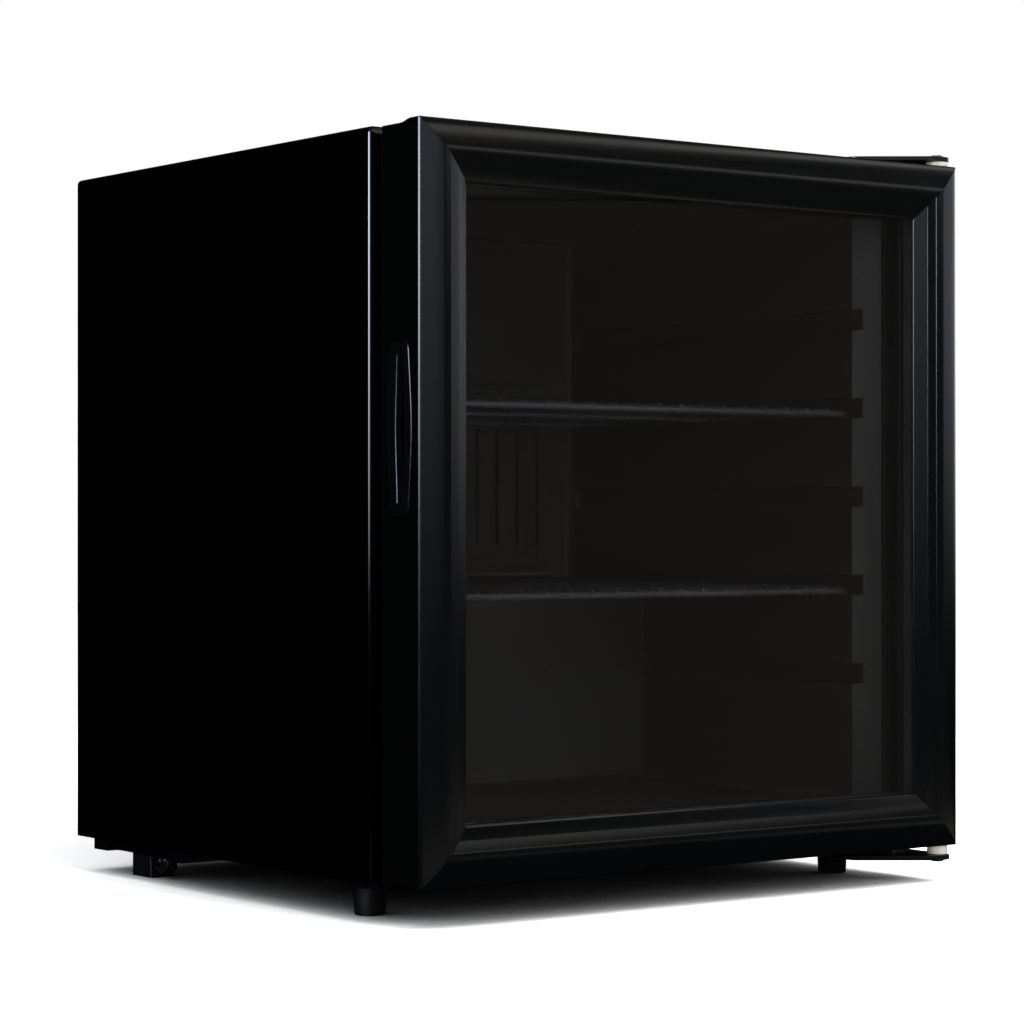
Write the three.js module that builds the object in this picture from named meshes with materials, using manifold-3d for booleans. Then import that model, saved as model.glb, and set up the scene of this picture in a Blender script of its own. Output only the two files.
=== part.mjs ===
// A countertop display fridge with a framed glass door, in millimetres, +Z up.
// While it is put together, X is centred on the cabinet, Y is 0 at the cabinet's front face and grows
// towards the back, and Z is 0 at the floor. At the end the group moves so that its origin is under the
// middle of its box.
import * as THREE from 'three';
import { mergeVertices } from 'three/addons/utils/BufferGeometryUtils.js';
import Module from 'manifold-3d';

const wasm = await Module();
wasm.setup();

// Clearances and working values
const seatGap = 0.3; // between pieces that touch, or that are let into each other
const cutOverrun = 6; // how far a cutting body passes what it cuts
const weldOverlap = 0.5; // how far joined bodies of one piece reach into each other
const weldDistance = 0.0001;
const sheetThickness = 0.8;

// Fineness of round shapes
const cornerSteps = 3;
const bendSteps = 4;
const roundSides = 20;
const smallSides = 10;
const pipeSides = 6;
const wireSides = 4;

// Cabinet
const cabinetWidth = 480;
const cabinetHeight = 497.5;
const cabinetDepth = 398.5;
const footHeight = 26;
const cabinetTopRadius = 4;
const foldRadius = 2.2;
const frontFlangeWidth = 24;
const rearFlangeWidth = 12;

// Cavity
const sideWall = 40;
const topWall = 28.5;
const floorWall = 31;
const backWall = 40.5;
const linerThickness = 1.5;
const linerLipWidth = 6;
const mouthDepth = 15.5;
const cavityCornerRadius = 8;
const cavityBackRadius = 6.4;
const ceilingRadius = 2.5;
const humpDepth = 97;
const humpHeight = 160;
const humpFootRadius = 8.8;
const humpEdgeRadius = 8;
const grooveCount = 5;
const grooveLowestTop = 101.6;
const grooveTopMargin = 73.2;
const grooveHeight = 15.2;
const grooveRecess = 6;
const grooveFrontSetback = 5;
const grooveBackSetback = 6;

// Evaporator chamber behind the duct cover
const chamberInset = 35;
const chamberDepth = 18.5;
const chamberBottomRise = 15;
const chamberTopDrop = 9;

// Duct cover
const coverInset = 28;
const coverThickness = 2;
const coverBottomRise = 8;
const coverTopDrop = 3;
const panelInset = 4.7;
const panelHeight = 113;
const panelTopDrop = 6;
const panelRise = 6;
const panelRadius = 10;
const slotCount = 17;
const slotMargin = 8.8;
const slotWidth = 3;
const slotTopMargin = 35.5;
const slotBottomRise = 28;
const coverGrooveCount = 2;
const coverGroovePitch = 7;
const coverGrooveHeight = 3;
const coverGrooveDepth = 1;
const coverGrooveBottomRise = 11;
const outletCount = 8;
const outletLength = 30;
const outletWidth = 3;

// Compressor space under the step of the base pan
const humpFoam = 25;

// Door
const doorRise = 1;
const doorTopRise = 0.5;
const frameFace = 40;
const frameDepth = 44;
const ridgeRise = 6;
const ridgeInset = 17;
const ridgeWidth = 4;
const bevelSteps = 5;
const firstStepInset = 24;
const secondStepInset = 30.7;
const stepDrop = 0.6;
const firstStepDepth = -5.2;
const secondStepDepth = -3;
const lipInset = 38;
const lipDepth = 0.6;
const lipTipDepth = 2.3;
const glassSetback = 3;
const rebateInset = 32;
const hollowInset = 18;
const hollowWidth = 11.5;
const hollowFront = -2;
const hollowBack = 41.5;
const recessDepth = 2.1;
const recessShares = [
  [0, 0.11], [0.14, 0.21], [0.3, 0.28], [0.52, 0.34], [0.78, 0.41], [0.93, 0.47], [0.97, 0.54], [1, 1],
];

// Glazing
const paneThickness = 4;
const paneBite = 7;
const spacerDepth = 8;
const spacerWidth = 6;
const beadFrontDepth = 5.8;
const beadBackDepth = 11.5;
const beadStep = 1.5;

// Gasket
const gasketDepth = 10.9;
const gasketInset = 14.3;
const gasketWidth = 9.7;
const gasketWaist = 1;
const gasketBase = 2.7;
const gasketFold = 3;
const gasketNeck = 2;

// Handle ring round a finger pocket in the side of the left stile
const handleHeight = 114;
const handleRise = 48.5;
const handleFrontBow = 6.2;
const handleFrontEnd = 10.9;
const handleBackEnd = 32;
const handleBackBow = 36.1;
const handleEndRadius = 6;
const handleBowRadius = 260;
const handleFace = 0.5;
const handleSeat = 2.5;
const slotEndMargin = 8;
const fingerFrontBow = 15.2;
const fingerFrontEnd = 18.5;
const fingerBackEnd = 23;
const fingerBackBow = 25.3;
const fingerEndRadius = 2;
const fingerPocketDepth = 13;

// Hinges
const pinInset = 9.5;
const pinDepth = 9.3;
const pinRadius = 3;
const pinHeadRadius = 5;
const pinHeadHeight = 1.5;
const bushRadius = 5;
const bushLength = 12;
const bushTopFlangeRadius = 8.2;
const bushBottomFlangeRadius = 7.5;
const hingeGapTop = 4;
const hingeGapBottom = 7;
const plateThickness = 3;
const bracketThickness = 3.5;
const plateTipRadius = 8.9;
const plateWidth = 67.5;
const plateShoulder = 18;
const plateShoulderRadius = 8;
const plateReach = 50;
const bracketReach = 27;
const joggleStart = 3;
const joggleLength = 6;
const screwRadius = 2;
const screwHeadRadius = 4;
const screwHeadHeight = 2;
const screwLength = 10;
const screwSideInset = 14;
const screwSpacing = 34;
const plateScrewReach = 30;
const bracketScrewReach = 16;

// Front levelling feet
const footInset = 30.5;
const footSetback = 44.5;
const footCollarRadius = 13.5;
const footCollarHeight = 7.6;
const footPadTopRadius = 11.5;
const footPadRadius = 10.5;
const footPadRound = 1.5;
const studRadius = 4;
const studLength = 14;

// Base plate, rails, rear feet and rollers under the compressor
const railInset = 15;
const railDepth = 20;
const railHeight = 9;
const railWall = 1.5;
const plateWeb = 1.4;
const basePlateDepth = 130.2;
const flangeDrop = 7.3;
const flangeWall = 1.5;
const flangeRailGap = 1;
const rearFootWidth = 18;
const rearFootLength = 26;
const rearFootSetback = 49;
const rearFootTaper = 2;
const rearFootRadius = 4;
const rollerRadius = 10;
const rollerWidth = 9;
const rollerSetback = 34;
const rollerHeight = 14;
const rollerGap = 1;
const axleRadius = 2;
const axleEnd = 0.5;
const tabWidth = 8;
const tabMargin = 4;

// Compressor
const compressorX = 10;
const compressorSetback = 56.5;
const shellLength = 132;
const shellDepth = 92;
const shellBottom = 32;
const shellHeight = 132;
const shellShares = [
  [0.45, 0.01], [0.79, 0.045], [0.94, 0.14], [1, 0.29], [1, 0.455], [1.05, 0.455], [1.05, 0.485], [1, 0.485],
  [1, 0.67], [0.91, 0.86], [0.68, 0.955], [0.3, 0.995],
];
const mountPlateLength = 190;
const mountPlateWidth = 70;
const mountPlateThickness = 2.5;
const mountPlateRise = 10.3;
const mountSpanX = 164;
const mountSpanY = 52;
const mountStudRadius = 3;
const mountStudHeight = 17;
const grommetRadius = 8;
const starterLength = 28;
const starterDepth = 38;
const starterHeight = 42;
const starterBottom = 70;
const trayLength = 120;
const trayDepth = 76;
const trayHeight = 20;
const trayWall = 1.5;
const suctionRadius = 4;
const dischargeRadius = 2.5;
const dischargeBend = 5;
const tubeBend = 10;
const suctionHeight = 112;
const suctionReach = 24;
const dischargeHeight = 84;
const dischargeReach = 36;
const innerPipeSetback = 14;

// Condenser on the back
const condenserStandoff = 10;
const condenserRadius = 2.5;
const condenserRuns = 8;
const condenserPitch = 38;
const condenserBottomRise = 25;
const condenserRightMargin = 55;
const condenserLeftMargin = 60;
const condenserDownMargin = 25;
const condenserInletReach = 22.5;
const condenserInletDrop = 60;
const condenserOutletDrop = 26;
const wireCount = 5;
const wireMargin = 65;
const wireThickness = 1.6;
const wireEndMargin = 9;
const strapWidth = 10;
const strapThickness = 1.2;
const strapInset = 90;
const strapMargin = 12;
const drierRadius = 8;
const drierLength = 80;
const drierNeck = 3;
const drierNeckLength = 6;
const drierShoulder = 12;
const capillaryRadius = 1.2;
const capillaryBend = 4.8;
const capillaryDrop = 16;
const capillaryReach = 35;
const glandInset = 65;
const glandRise = 14;
const glandFlangeRadius = 10;
const glandFlangeHeight = 2;
const glandRadius = 7;
const glandBore = 4;
const glandLength = 12;

// Evaporator
const evaporatorLeftMargin = 65;
const evaporatorRightMargin = 15;
const evaporatorDepth = 14;
const evaporatorHeight = 58;
const evaporatorRuns = 3;
const evaporatorPitch = 20;
const evaporatorTubeRadius = 3.5;
const finCount = 8;
const finThickness = 0.8;
const evaporatorTopDrop = 9;

// Fan
const fanSize = 80;
const fanDepth = 15;
const fanMargin = 20.7;
const fanBore = 37.5;
const fanHubRadius = 15;
const fanHubDepth = 6;
const fanArmWidth = 5;
const fanArmThickness = 2.4;
const fanBladeCount = 7;
const fanBladeReach = 36;
const fanBladeWidth = 17;
const fanBladeThickness = 1.2;
const fanBladePitchDegrees = 28;
const fanShaftRadius = 2;
const fanShaftLength = 4;

// Thermostat
const thermostatMargin = 30;
const thermostatSize = 42;
const knobRadius = 16;
const knobDepth = 13;
const knobGripRadius = 13;
const knobRidgeWidth = 4;
const knobRidgeRise = 2.5;
const knobShaftRadius = 3;
const knobShaftLength = 7;

// Shelves
const shelfGrooves = { shelf_lower: 1, shelf_upper: 3 };
const shelfFront = 21.5;
const shelfFrameRadius = 2.5;
const shelfCornerRadius = 9;
const shelfWireRadius = 1.3;
const shelfWireCount = 19;
const shelfSupportRadius = 2;
const shelfWeld = 1;
const shelfWireEnd = 1.6;
const shelfCrossEnd = 0.7;
const shelfRearSetback = 13.5;
const shelfHumpGap = 5;

// Heights and places that follow from the sizes above
const halfWidth = cabinetWidth / 2;
const cabinetBottom = footHeight;
const cabinetTop = cabinetBottom + cabinetHeight;
const halfCavity = halfWidth - sideWall;
const floorTop = cabinetBottom + floorWall;
const ceiling = cabinetTop - topWall;
const groovePitch = (ceiling - floorTop - grooveLowestTop - grooveTopMargin) / (grooveCount - 1);
const cavityBack = cabinetDepth - backWall;
const humpFront = cavityBack - humpDepth;
const humpTop = floorTop + humpHeight;
const chamberHalf = halfCavity - chamberInset;
const coverHalf = halfCavity - coverInset;
const thermostatX = -chamberHalf + thermostatMargin;
const linerFront = sheetThickness + seatGap;
const riserFront = humpFront + linerThickness + humpFoam;
const stepTop = humpTop - linerThickness - humpFoam;
const rearPanelBack = cabinetDepth - sheetThickness - seatGap;
const rearPanelFront = rearPanelBack - sheetThickness;
const chamberBack = cavityBack + chamberDepth;
const chamberBottom = humpTop + chamberBottomRise;
const chamberTop = ceiling - chamberTopDrop;
const doorBottom = cabinetBottom + doorRise;
const doorTop = cabinetTop + doorTopRise;
const doorFront = -(frameDepth + gasketDepth + 2 * seatGap);
const pinX = halfWidth - pinInset;
const pinY = doorFront + pinDepth;
const webTop = cabinetBottom - seatGap;
const webBottom = webTop - plateWeb;
const glandX = halfWidth - glandInset;
const basePlateBack = cabinetDepth - seatGap;
const basePlateFront = basePlateBack - basePlateDepth;
const rollerY = basePlateFront + rollerSetback;
const compressorY = cabinetDepth - compressorSetback;
const railHalf = halfWidth - railInset;
const basePlateHalf = railHalf - seatGap;

// Finishes
const finish = (color, roughness, metalness = 0) =>
  new THREE.MeshStandardMaterial({ color, roughness, metalness });
const blackSteel = finish(0x0b0c0e, 0.35, 0.3);
const blackPlastic = finish(0x101114, 0.45);
const linerPlastic = finish(0x1b1c1e, 0.5);
const framePlastic = finish(0x14161b, 0.35);
const rubber = finish(0x151515, 0.85);
const galvanised = finish(0x6c7380, 0.45, 0.8);
const zinc = finish(0xb9bcc2, 0.3, 0.9);
const nylon = finish(0xd9d4c6, 0.5);
const copper = finish(0xb66a3c, 0.35, 0.9);
const aluminium = finish(0xa9adb3, 0.4, 0.9);
const foamYellow = finish(0xd8c48a, 0.95);
const wireBlack = finish(0x1a1c20, 0.4, 0.3);
const glass = new THREE.MeshStandardMaterial({
  color: 0x9fb0b4, roughness: 0.05, transparent: true, opacity: 0.3,
});

// Turns a closed geometry into a solid whose faces point out.
function solidOf(geometry) {
  const bare = new THREE.BufferGeometry().setAttribute('position', geometry.getAttribute('position'));
  bare.setIndex(geometry.index);
  const merged = mergeVertices(bare, weldDistance);
  const vertProperties = merged.attributes.position.array;
  const triVerts = new Uint32Array(merged.index.array);
  const solid = new wasm.Manifold(new wasm.Mesh({ numProp: 3, vertProperties, triVerts }));
  if (solid.volume() > 0) return solid;
  return new wasm.Manifold(new wasm.Mesh({ numProp: 3, vertProperties, triVerts: triVerts.reverse() }));
}

// Turns a solid back into a geometry with flat faces.
function geometryOf(solid) {
  const { vertProperties, numProp, triVerts } = solid.getMesh();
  const positions = new Float32Array(triVerts.length * 3);
  triVerts.forEach((vertex, corner) => {
    positions.set(vertProperties.subarray(vertex * numProp, vertex * numProp + 3), corner * 3);
  });
  const geometry = new THREE.BufferGeometry();
  geometry.setAttribute('position', new THREE.BufferAttribute(positions, 3));
  geometry.computeVertexNormals();
  return geometry;
}

const join = (...solids) => solids.flat().reduce((all, one) => all.add(one));
const cut = (solid, ...tools) => tools.flat().reduce((rest, tool) => rest.subtract(tool), solid);
const common = (...solids) => solids.reduce((rest, other) => rest.intersect(other));

// A closed outline whose corners are rounded. Each corner is [a, b] or [a, b, radius].
function rounded(corners, steps = cornerSteps) {
  const points = [];
  corners.forEach(([a, b, radius = 0], index) => {
    const corner = new THREE.Vector2(a, b);
    if (radius <= 0) {
      points.push(corner);
      return;
    }
    const [beforeA, beforeB] = corners.at(index - 1);
    const [afterA, afterB] = corners[(index + 1) % corners.length];
    const toBefore = new THREE.Vector2(beforeA, beforeB).sub(corner).normalize();
    const toAfter = new THREE.Vector2(afterA, afterB).sub(corner).normalize();
    const halfAngle = Math.acos(THREE.MathUtils.clamp(toBefore.dot(toAfter), -1, 1)) / 2;
    const inward = toBefore.clone().add(toAfter).normalize();
    const centre = corner.clone().addScaledVector(inward, radius / Math.sin(halfAngle));
    const start = corner.clone().addScaledVector(toBefore, radius / Math.tan(halfAngle)).sub(centre);
    const end = corner.clone().addScaledVector(toAfter, radius / Math.tan(halfAngle)).sub(centre);
    const turn = Math.atan2(start.cross(end), start.dot(end));
    for (let step = 0; step <= steps; step += 1) {
      points.push(start.clone().rotateAround(new THREE.Vector2(), (turn * step) / steps).add(centre));
    }
  });
  return points;
}

// How an outline drawn flat stands in the fridge: along x it is drawn as (y, z), along z as (x, y), and
// along y as (x, z), as it looks from the front.
const standing = {
  x: new THREE.Matrix4().set(0, 0, 1, 0, 1, 0, 0, 0, 0, 1, 0, 0, 0, 0, 0, 1),
  y: new THREE.Matrix4().set(0, 1, 0, 0, 0, 0, 1, 0, 1, 0, 0, 0, 0, 0, 0, 1),
  z: new THREE.Matrix4(),
};

const asVectors = (points, axis) =>
  points.map((point) => {
    const [a, b] = point.isVector2 ? [point.x, point.y] : point;
    return axis === 'y' ? new THREE.Vector2(b, a) : new THREE.Vector2(a, b);
  });

// A straight prism of an outline, from one place to another along an axis, with any holes through it.
function prism(axis, points, from, to, holes = []) {
  const outline = asVectors(points, axis);
  if (THREE.ShapeUtils.isClockWise(outline)) outline.reverse();
  const shape = new THREE.Shape(outline);
  holes.forEach((hole) => shape.holes.push(new THREE.Path(asVectors(hole, axis))));
  const geometry = new THREE.ExtrudeGeometry(shape, { depth: to - from, bevelEnabled: false });
  geometry.translate(0, 0, from);
  geometry.applyMatrix4(standing[axis]);
  return solidOf(geometry);
}

const rectangle = (aLow, aHigh, bLow, bHigh, radius = 0) => [
  [aLow, bLow, radius], [aHigh, bLow, radius], [aHigh, bHigh, radius], [aLow, bHigh, radius],
];

// A block between its lowest and highest corners.
function block(xLow, xHigh, yLow, yHigh, zLow, zHigh) {
  const geometry = new THREE.BoxGeometry(xHigh - xLow, yHigh - yLow, zHigh - zLow);
  geometry.translate((xLow + xHigh) / 2, (yLow + yHigh) / 2, (zLow + zHigh) / 2);
  return solidOf(geometry);
}

// A tapered block with one rectangle at its front and another at its back.
function funnelBlock(frontSize, backSize, yFront, yBack) {
  const geometry = new THREE.BoxGeometry(1, 1, 1);
  const position = geometry.getAttribute('position');
  for (let i = 0; i < position.count; i += 1) {
    const atFront = position.getY(i) < 0;
    const { xHalf, zLow, zHigh } = atFront ? frontSize : backSize;
    const x = position.getX(i) < 0 ? -xHalf : xHalf;
    const z = position.getZ(i) < 0 ? zLow : zHigh;
    position.setXYZ(i, x, atFront ? yFront : yBack, z);
  }
  return solidOf(geometry);
}

const turnToAxis = {
  x: (geometry) => geometry.rotateZ(-Math.PI / 2),
  y: (geometry) => geometry,
  z: (geometry) => geometry.rotateX(Math.PI / 2),
};

const axisPlaces = {
  x: ([y, z], along) => [along, y, z],
  y: ([x, z], along) => [x, along, z],
  z: ([x, y], along) => [x, y, along],
};

// A round bar along an axis, through a centre given in the other two directions.
function rod(axis, centre, radius, from, to, sides = roundSides) {
  const geometry = turnToAxis[axis](new THREE.CylinderGeometry(radius, radius, to - from, sides));
  geometry.translate(...axisPlaces[axis](centre, (from + to) / 2));
  return solidOf(geometry);
}

// A turned body: its profile is [radius, place along the axis], and starts and ends on the axis or closes
// on itself.
function turned(axis, centre, profile, sides = roundSides) {
  const points = profile.map(([radius, along]) => new THREE.Vector2(radius, along));
  const geometry = turnToAxis[axis](new THREE.LatheGeometry(points, sides));
  geometry.translate(...axisPlaces[axis](centre, 0));
  return solidOf(geometry);
}

// A washer or bush: a closed ring profile turned round an axis.
const bored = (axis, centre, profile, bore, sides = roundSides) => {
  const [low, high] = [profile[0][1], profile.at(-1)[1]];
  return turned(axis, centre, [[bore, low], ...profile, [bore, high], [bore, low]], sides);
};

// A path through its own points one by one, so that a straight run has no steps between its ends.
class Route extends THREE.Curve {
  constructor(points) {
    super();
    this.points = points;
  }

  indexAt(share) {
    return Math.round(share * (this.points.length - 1));
  }

  getPoint(share, target = new THREE.Vector3()) {
    return target.copy(this.points[this.indexAt(share)]);
  }

  getPointAt(share, target = new THREE.Vector3()) {
    return this.getPoint(share, target);
  }

  getTangentAt(share, target = new THREE.Vector3()) {
    const index = this.indexAt(share);
    const here = this.points[index];
    const before = this.points[index - 1];
    const after = this.points[index + 1];
    target.set(0, 0, 0);
    if (before) target.add(here.clone().sub(before).normalize());
    if (after) target.add(after.clone().sub(here).normalize());
    return target.normalize();
  }
}

// The points of a route whose corners are bent to a radius.
function bentRoute(corners, radius) {
  const vectors = corners.map((corner) => new THREE.Vector3(...corner));
  const points = [vectors[0]];
  vectors.slice(1, -1).forEach((corner, index) => {
    const toBefore = vectors[index].clone().sub(corner).normalize();
    const toAfter = vectors[index + 2].clone().sub(corner).normalize();
    const halfAngle = toBefore.angleTo(toAfter) / 2;
    const inward = toBefore.clone().add(toAfter).normalize();
    const centre = corner.clone().addScaledVector(inward, radius / Math.sin(halfAngle));
    const start = corner.clone().addScaledVector(toBefore, radius / Math.tan(halfAngle)).sub(centre);
    const axis = toAfter.clone().cross(toBefore).normalize();
    for (let step = 0; step <= bendSteps; step += 1) {
      const turn = ((Math.PI - 2 * halfAngle) * step) / bendSteps;
      const point = start.clone().applyAxisAngle(axis, turn).add(centre);
      if (point.distanceTo(points.at(-1)) > seatGap) points.push(point);
    }
  });
  points.push(vectors.at(-1));
  return points;
}

// A round pipe or wire along a bent route.
function pipe(corners, radius, bendRadius, sides = pipeSides) {
  const points = bentRoute(corners, bendRadius);
  const section = [];
  for (let side = 0; side < sides; side += 1) {
    const angle = (2 * Math.PI * (side + 1 / 2)) / sides;
    section.push(new THREE.Vector2(radius * Math.cos(angle), radius * Math.sin(angle)));
  }
  const settings = { steps: points.length - 1, bevelEnabled: false, extrudePath: new Route(points) };
  return solidOf(new THREE.ExtrudeGeometry(new THREE.Shape(section), settings));
}

// Adds a solid to a group as a named mesh, standing at a place of its own.
function add(group, name, solid, material, place = [0, 0, 0]) {
  const mesh = new THREE.Mesh(geometryOf(solid), material);
  mesh.name = name;
  mesh.position.set(...place);
  group.add(mesh);
  return mesh;
}

// The cabinet's outer form, drawn in by an inset on every side but the bottom, which has its own height.
function cabinetForm(inset, bottom) {
  const half = halfWidth - inset;
  const top = cabinetTop - inset;
  const back = cabinetDepth - inset;
  const topRadius = cabinetTopRadius - inset;
  const fold = foldRadius - inset;
  const frontOutline = [[-half, bottom], [half, bottom], [half, top, topRadius], [-half, top, topRadius]];
  const planOutline = [[-half, inset, fold], [half, inset, fold], [half, back], [-half, back]];
  const sideOutline = [[inset, bottom], [back, bottom], [back, top], [inset, top, fold]];
  return common(
    prism('y', rounded(frontOutline), inset, back),
    prism('z', rounded(planOutline), bottom, top),
    prism('x', rounded(sideOutline), -half, half),
  );
}

// The open space inside the liner, grown by an offset: mouth, cavity, shelf grooves and chamber.
function cavitySpace(offset) {
  const half = halfCavity + offset;
  const low = floorTop - offset;
  const high = ceiling + offset;
  const back = cavityBack + offset;
  const front = mouthDepth - weldOverlap;
  const backRadius = cavityBackRadius + offset;
  const sideOutline = rounded([
    [front, low], [humpFront + offset, low, humpFootRadius + offset],
    [humpFront + offset, humpTop - offset, humpEdgeRadius - offset], [back, humpTop - offset, backRadius],
    [back, high, ceilingRadius + offset], [front, high],
  ]);
  const planOutline = rounded([
    [-half, front], [half, front], [half, back, backRadius], [-half, back, backRadius],
  ]);
  const frontOutline = rounded(rectangle(-half, half, low, high, cavityCornerRadius + offset));
  const room = common(
    prism('x', sideOutline, -half, half),
    prism('z', planOutline, low, high),
    prism('y', frontOutline, front, back),
  );
  const wide = {
    xHalf: halfWidth - frontFlangeWidth + offset,
    zLow: cabinetBottom + frontFlangeWidth - offset,
    zHigh: cabinetTop - frontFlangeWidth + offset,
  };
  const narrow = { xHalf: half, zLow: low, zHigh: high };
  const mouth = funnelBlock(wide, narrow, linerFront, mouthDepth);
  const chamber = block(-chamberHalf - offset, chamberHalf + offset, cavityBack - weldOverlap,
    chamberBack + offset, chamberBottom - offset, chamberTop + offset);
  return join(room, mouth, chamber, grooveSpaces(offset));
}

const grooveTop = (index) => floorTop + grooveLowestTop + groovePitch * index;
const grooveBottom = (index) => grooveTop(index) - grooveHeight;

// The shelf grooves of both side walls, grown by an offset.
function grooveSpaces(offset) {
  const grooves = [];
  for (let index = 0; index < grooveCount; index += 1) {
    const low = grooveBottom(index) - offset;
    const high = grooveTop(index) + offset;
    const outer = halfCavity + grooveRecess + offset;
    const inner = halfCavity - weldOverlap;
    const back = grooveBottom(index) < humpTop ? humpFront : cavityBack - grooveBackSetback;
    grooves.push(block(inner, outer, grooveFrontSetback, back + offset, low, high));
    grooves.push(block(-outer, -inner, grooveFrontSetback, back + offset, low, high));
  }
  return grooves;
}

const screwColumns = [halfWidth - screwSideInset, halfWidth - screwSideInset - screwSpacing];
const screwPlacesTop = screwColumns.map((x) => [x, plateScrewReach]);
const screwPlacesBottom = screwColumns.map((x) => [x, bracketScrewReach]);
const footPlaces = [-1, 1].map((side) => [side * (halfWidth - footInset), footSetback]);
const glandZ = stepTop + glandRise;

// Holes for the hinge screws, foot studs and the gland, each with its clearance.
function fixingHoles() {
  const screwTop = cabinetTop + cutOverrun;
  const screwBottom = cabinetBottom - cutOverrun;
  const clear = screwRadius + seatGap;
  const topDepth = cabinetTop + seatGap + plateThickness - screwLength - seatGap;
  const bottomDepth = cabinetBottom - seatGap - bracketThickness + screwLength + seatGap;
  const studTop = cabinetBottom + studLength + seatGap;
  const glandHoleFront = rearPanelBack + seatGap - glandLength - seatGap;
  return [
    ...screwPlacesTop.map((place) => rod('z', place, clear, topDepth, screwTop, smallSides)),
    ...screwPlacesBottom.map((place) => rod('z', place, clear, screwBottom, bottomDepth, smallSides)),
    ...footPlaces.map((place) => rod('z', place, studRadius + seatGap, screwBottom, studTop, smallSides)),
    rod('y', [glandX, glandZ], glandRadius + seatGap, glandHoleFront, cabinetDepth + cutOverrun),
  ];
}

// Outer skins, foam and liner.
function buildCabinet(group) {
  const half = halfWidth - frontFlangeWidth;
  const rearHalf = halfWidth - rearFlangeWidth;
  const below = cabinetBottom - cutOverrun;
  const behind = cabinetDepth + cutOverrun;
  const holes = fixingHoles();

  const skin = cut(
    cabinetForm(0, cabinetBottom),
    cabinetForm(sheetThickness, below),
    block(-half, half, -cutOverrun, mouthDepth, below, cabinetTop - frontFlangeWidth),
    block(-rearHalf, rearHalf, cabinetDepth - mouthDepth, behind, below, cabinetTop - rearFlangeWidth),
    holes,
  );
  add(group, 'cabinet_wrap', skin, blackSteel);

  const insideHalf = halfWidth - sheetThickness - seatGap;
  const insideTop = cabinetTop - sheetThickness - seatGap;
  const insideRadius = cabinetTopRadius - sheetThickness - seatGap;
  const insideOutline = (low) => rounded([
    [-insideHalf, low], [insideHalf, low],
    [insideHalf, insideTop, insideRadius], [-insideHalf, insideTop, insideRadius],
  ]);
  const rearPanel = prism('y', insideOutline(stepTop + seatGap), rearPanelFront, rearPanelBack);
  add(group, 'rear_panel', cut(rearPanel, holes), blackSteel);

  const sheetTop = cabinetBottom + sheetThickness;
  const riserBack = riserFront + sheetThickness;
  const stepLow = stepTop - sheetThickness;
  const panOutline = [
    [foldRadius, cabinetBottom], [riserBack, cabinetBottom], [riserBack, stepLow], [rearPanelBack, stepLow],
    [rearPanelBack, stepTop], [riserFront, stepTop], [riserFront, sheetTop], [foldRadius, sheetTop],
  ];
  const lipHalf = half - seatGap;
  const pan = join(
    prism('x', panOutline, -insideHalf, insideHalf),
    block(-lipHalf, lipHalf, 0, foldRadius + weldOverlap, cabinetBottom, sheetTop),
    block(-lipHalf, lipHalf, 0, sheetThickness, cabinetBottom, cabinetBottom + frontFlangeWidth),
  );
  add(group, 'base_pan', cut(pan, holes), blackSteel);

  const foamFront = linerFront + linerThickness + seatGap;
  const foamBlock = prism('y', insideOutline(sheetTop + seatGap), foamFront, rearPanelFront - seatGap);
  const spaceFront = riserFront - seatGap;
  const compressorSpace = block(-halfWidth, halfWidth, spaceFront, cabinetDepth, 0, stepTop + seatGap);
  const foam = cut(foamBlock, compressorSpace, cavitySpace(linerThickness + seatGap), holes);
  add(group, 'insulation_foam', foam, foamYellow);

  const linerLipInset = frontFlangeWidth - linerLipWidth;
  const lipHalfWidth = halfWidth - linerLipInset;
  const linerLip = block(-lipHalfWidth, lipHalfWidth, linerFront, linerFront + linerThickness,
    cabinetBottom + linerLipInset, cabinetTop - linerLipInset);
  const beforeLiner = block(-halfWidth, halfWidth, -cutOverrun, linerFront, 0, cabinetTop);
  const liner = cut(join(cavitySpace(linerThickness), linerLip), cavitySpace(0), beforeLiner);
  add(group, 'inner_liner', liner, linerPlastic);
}

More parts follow.
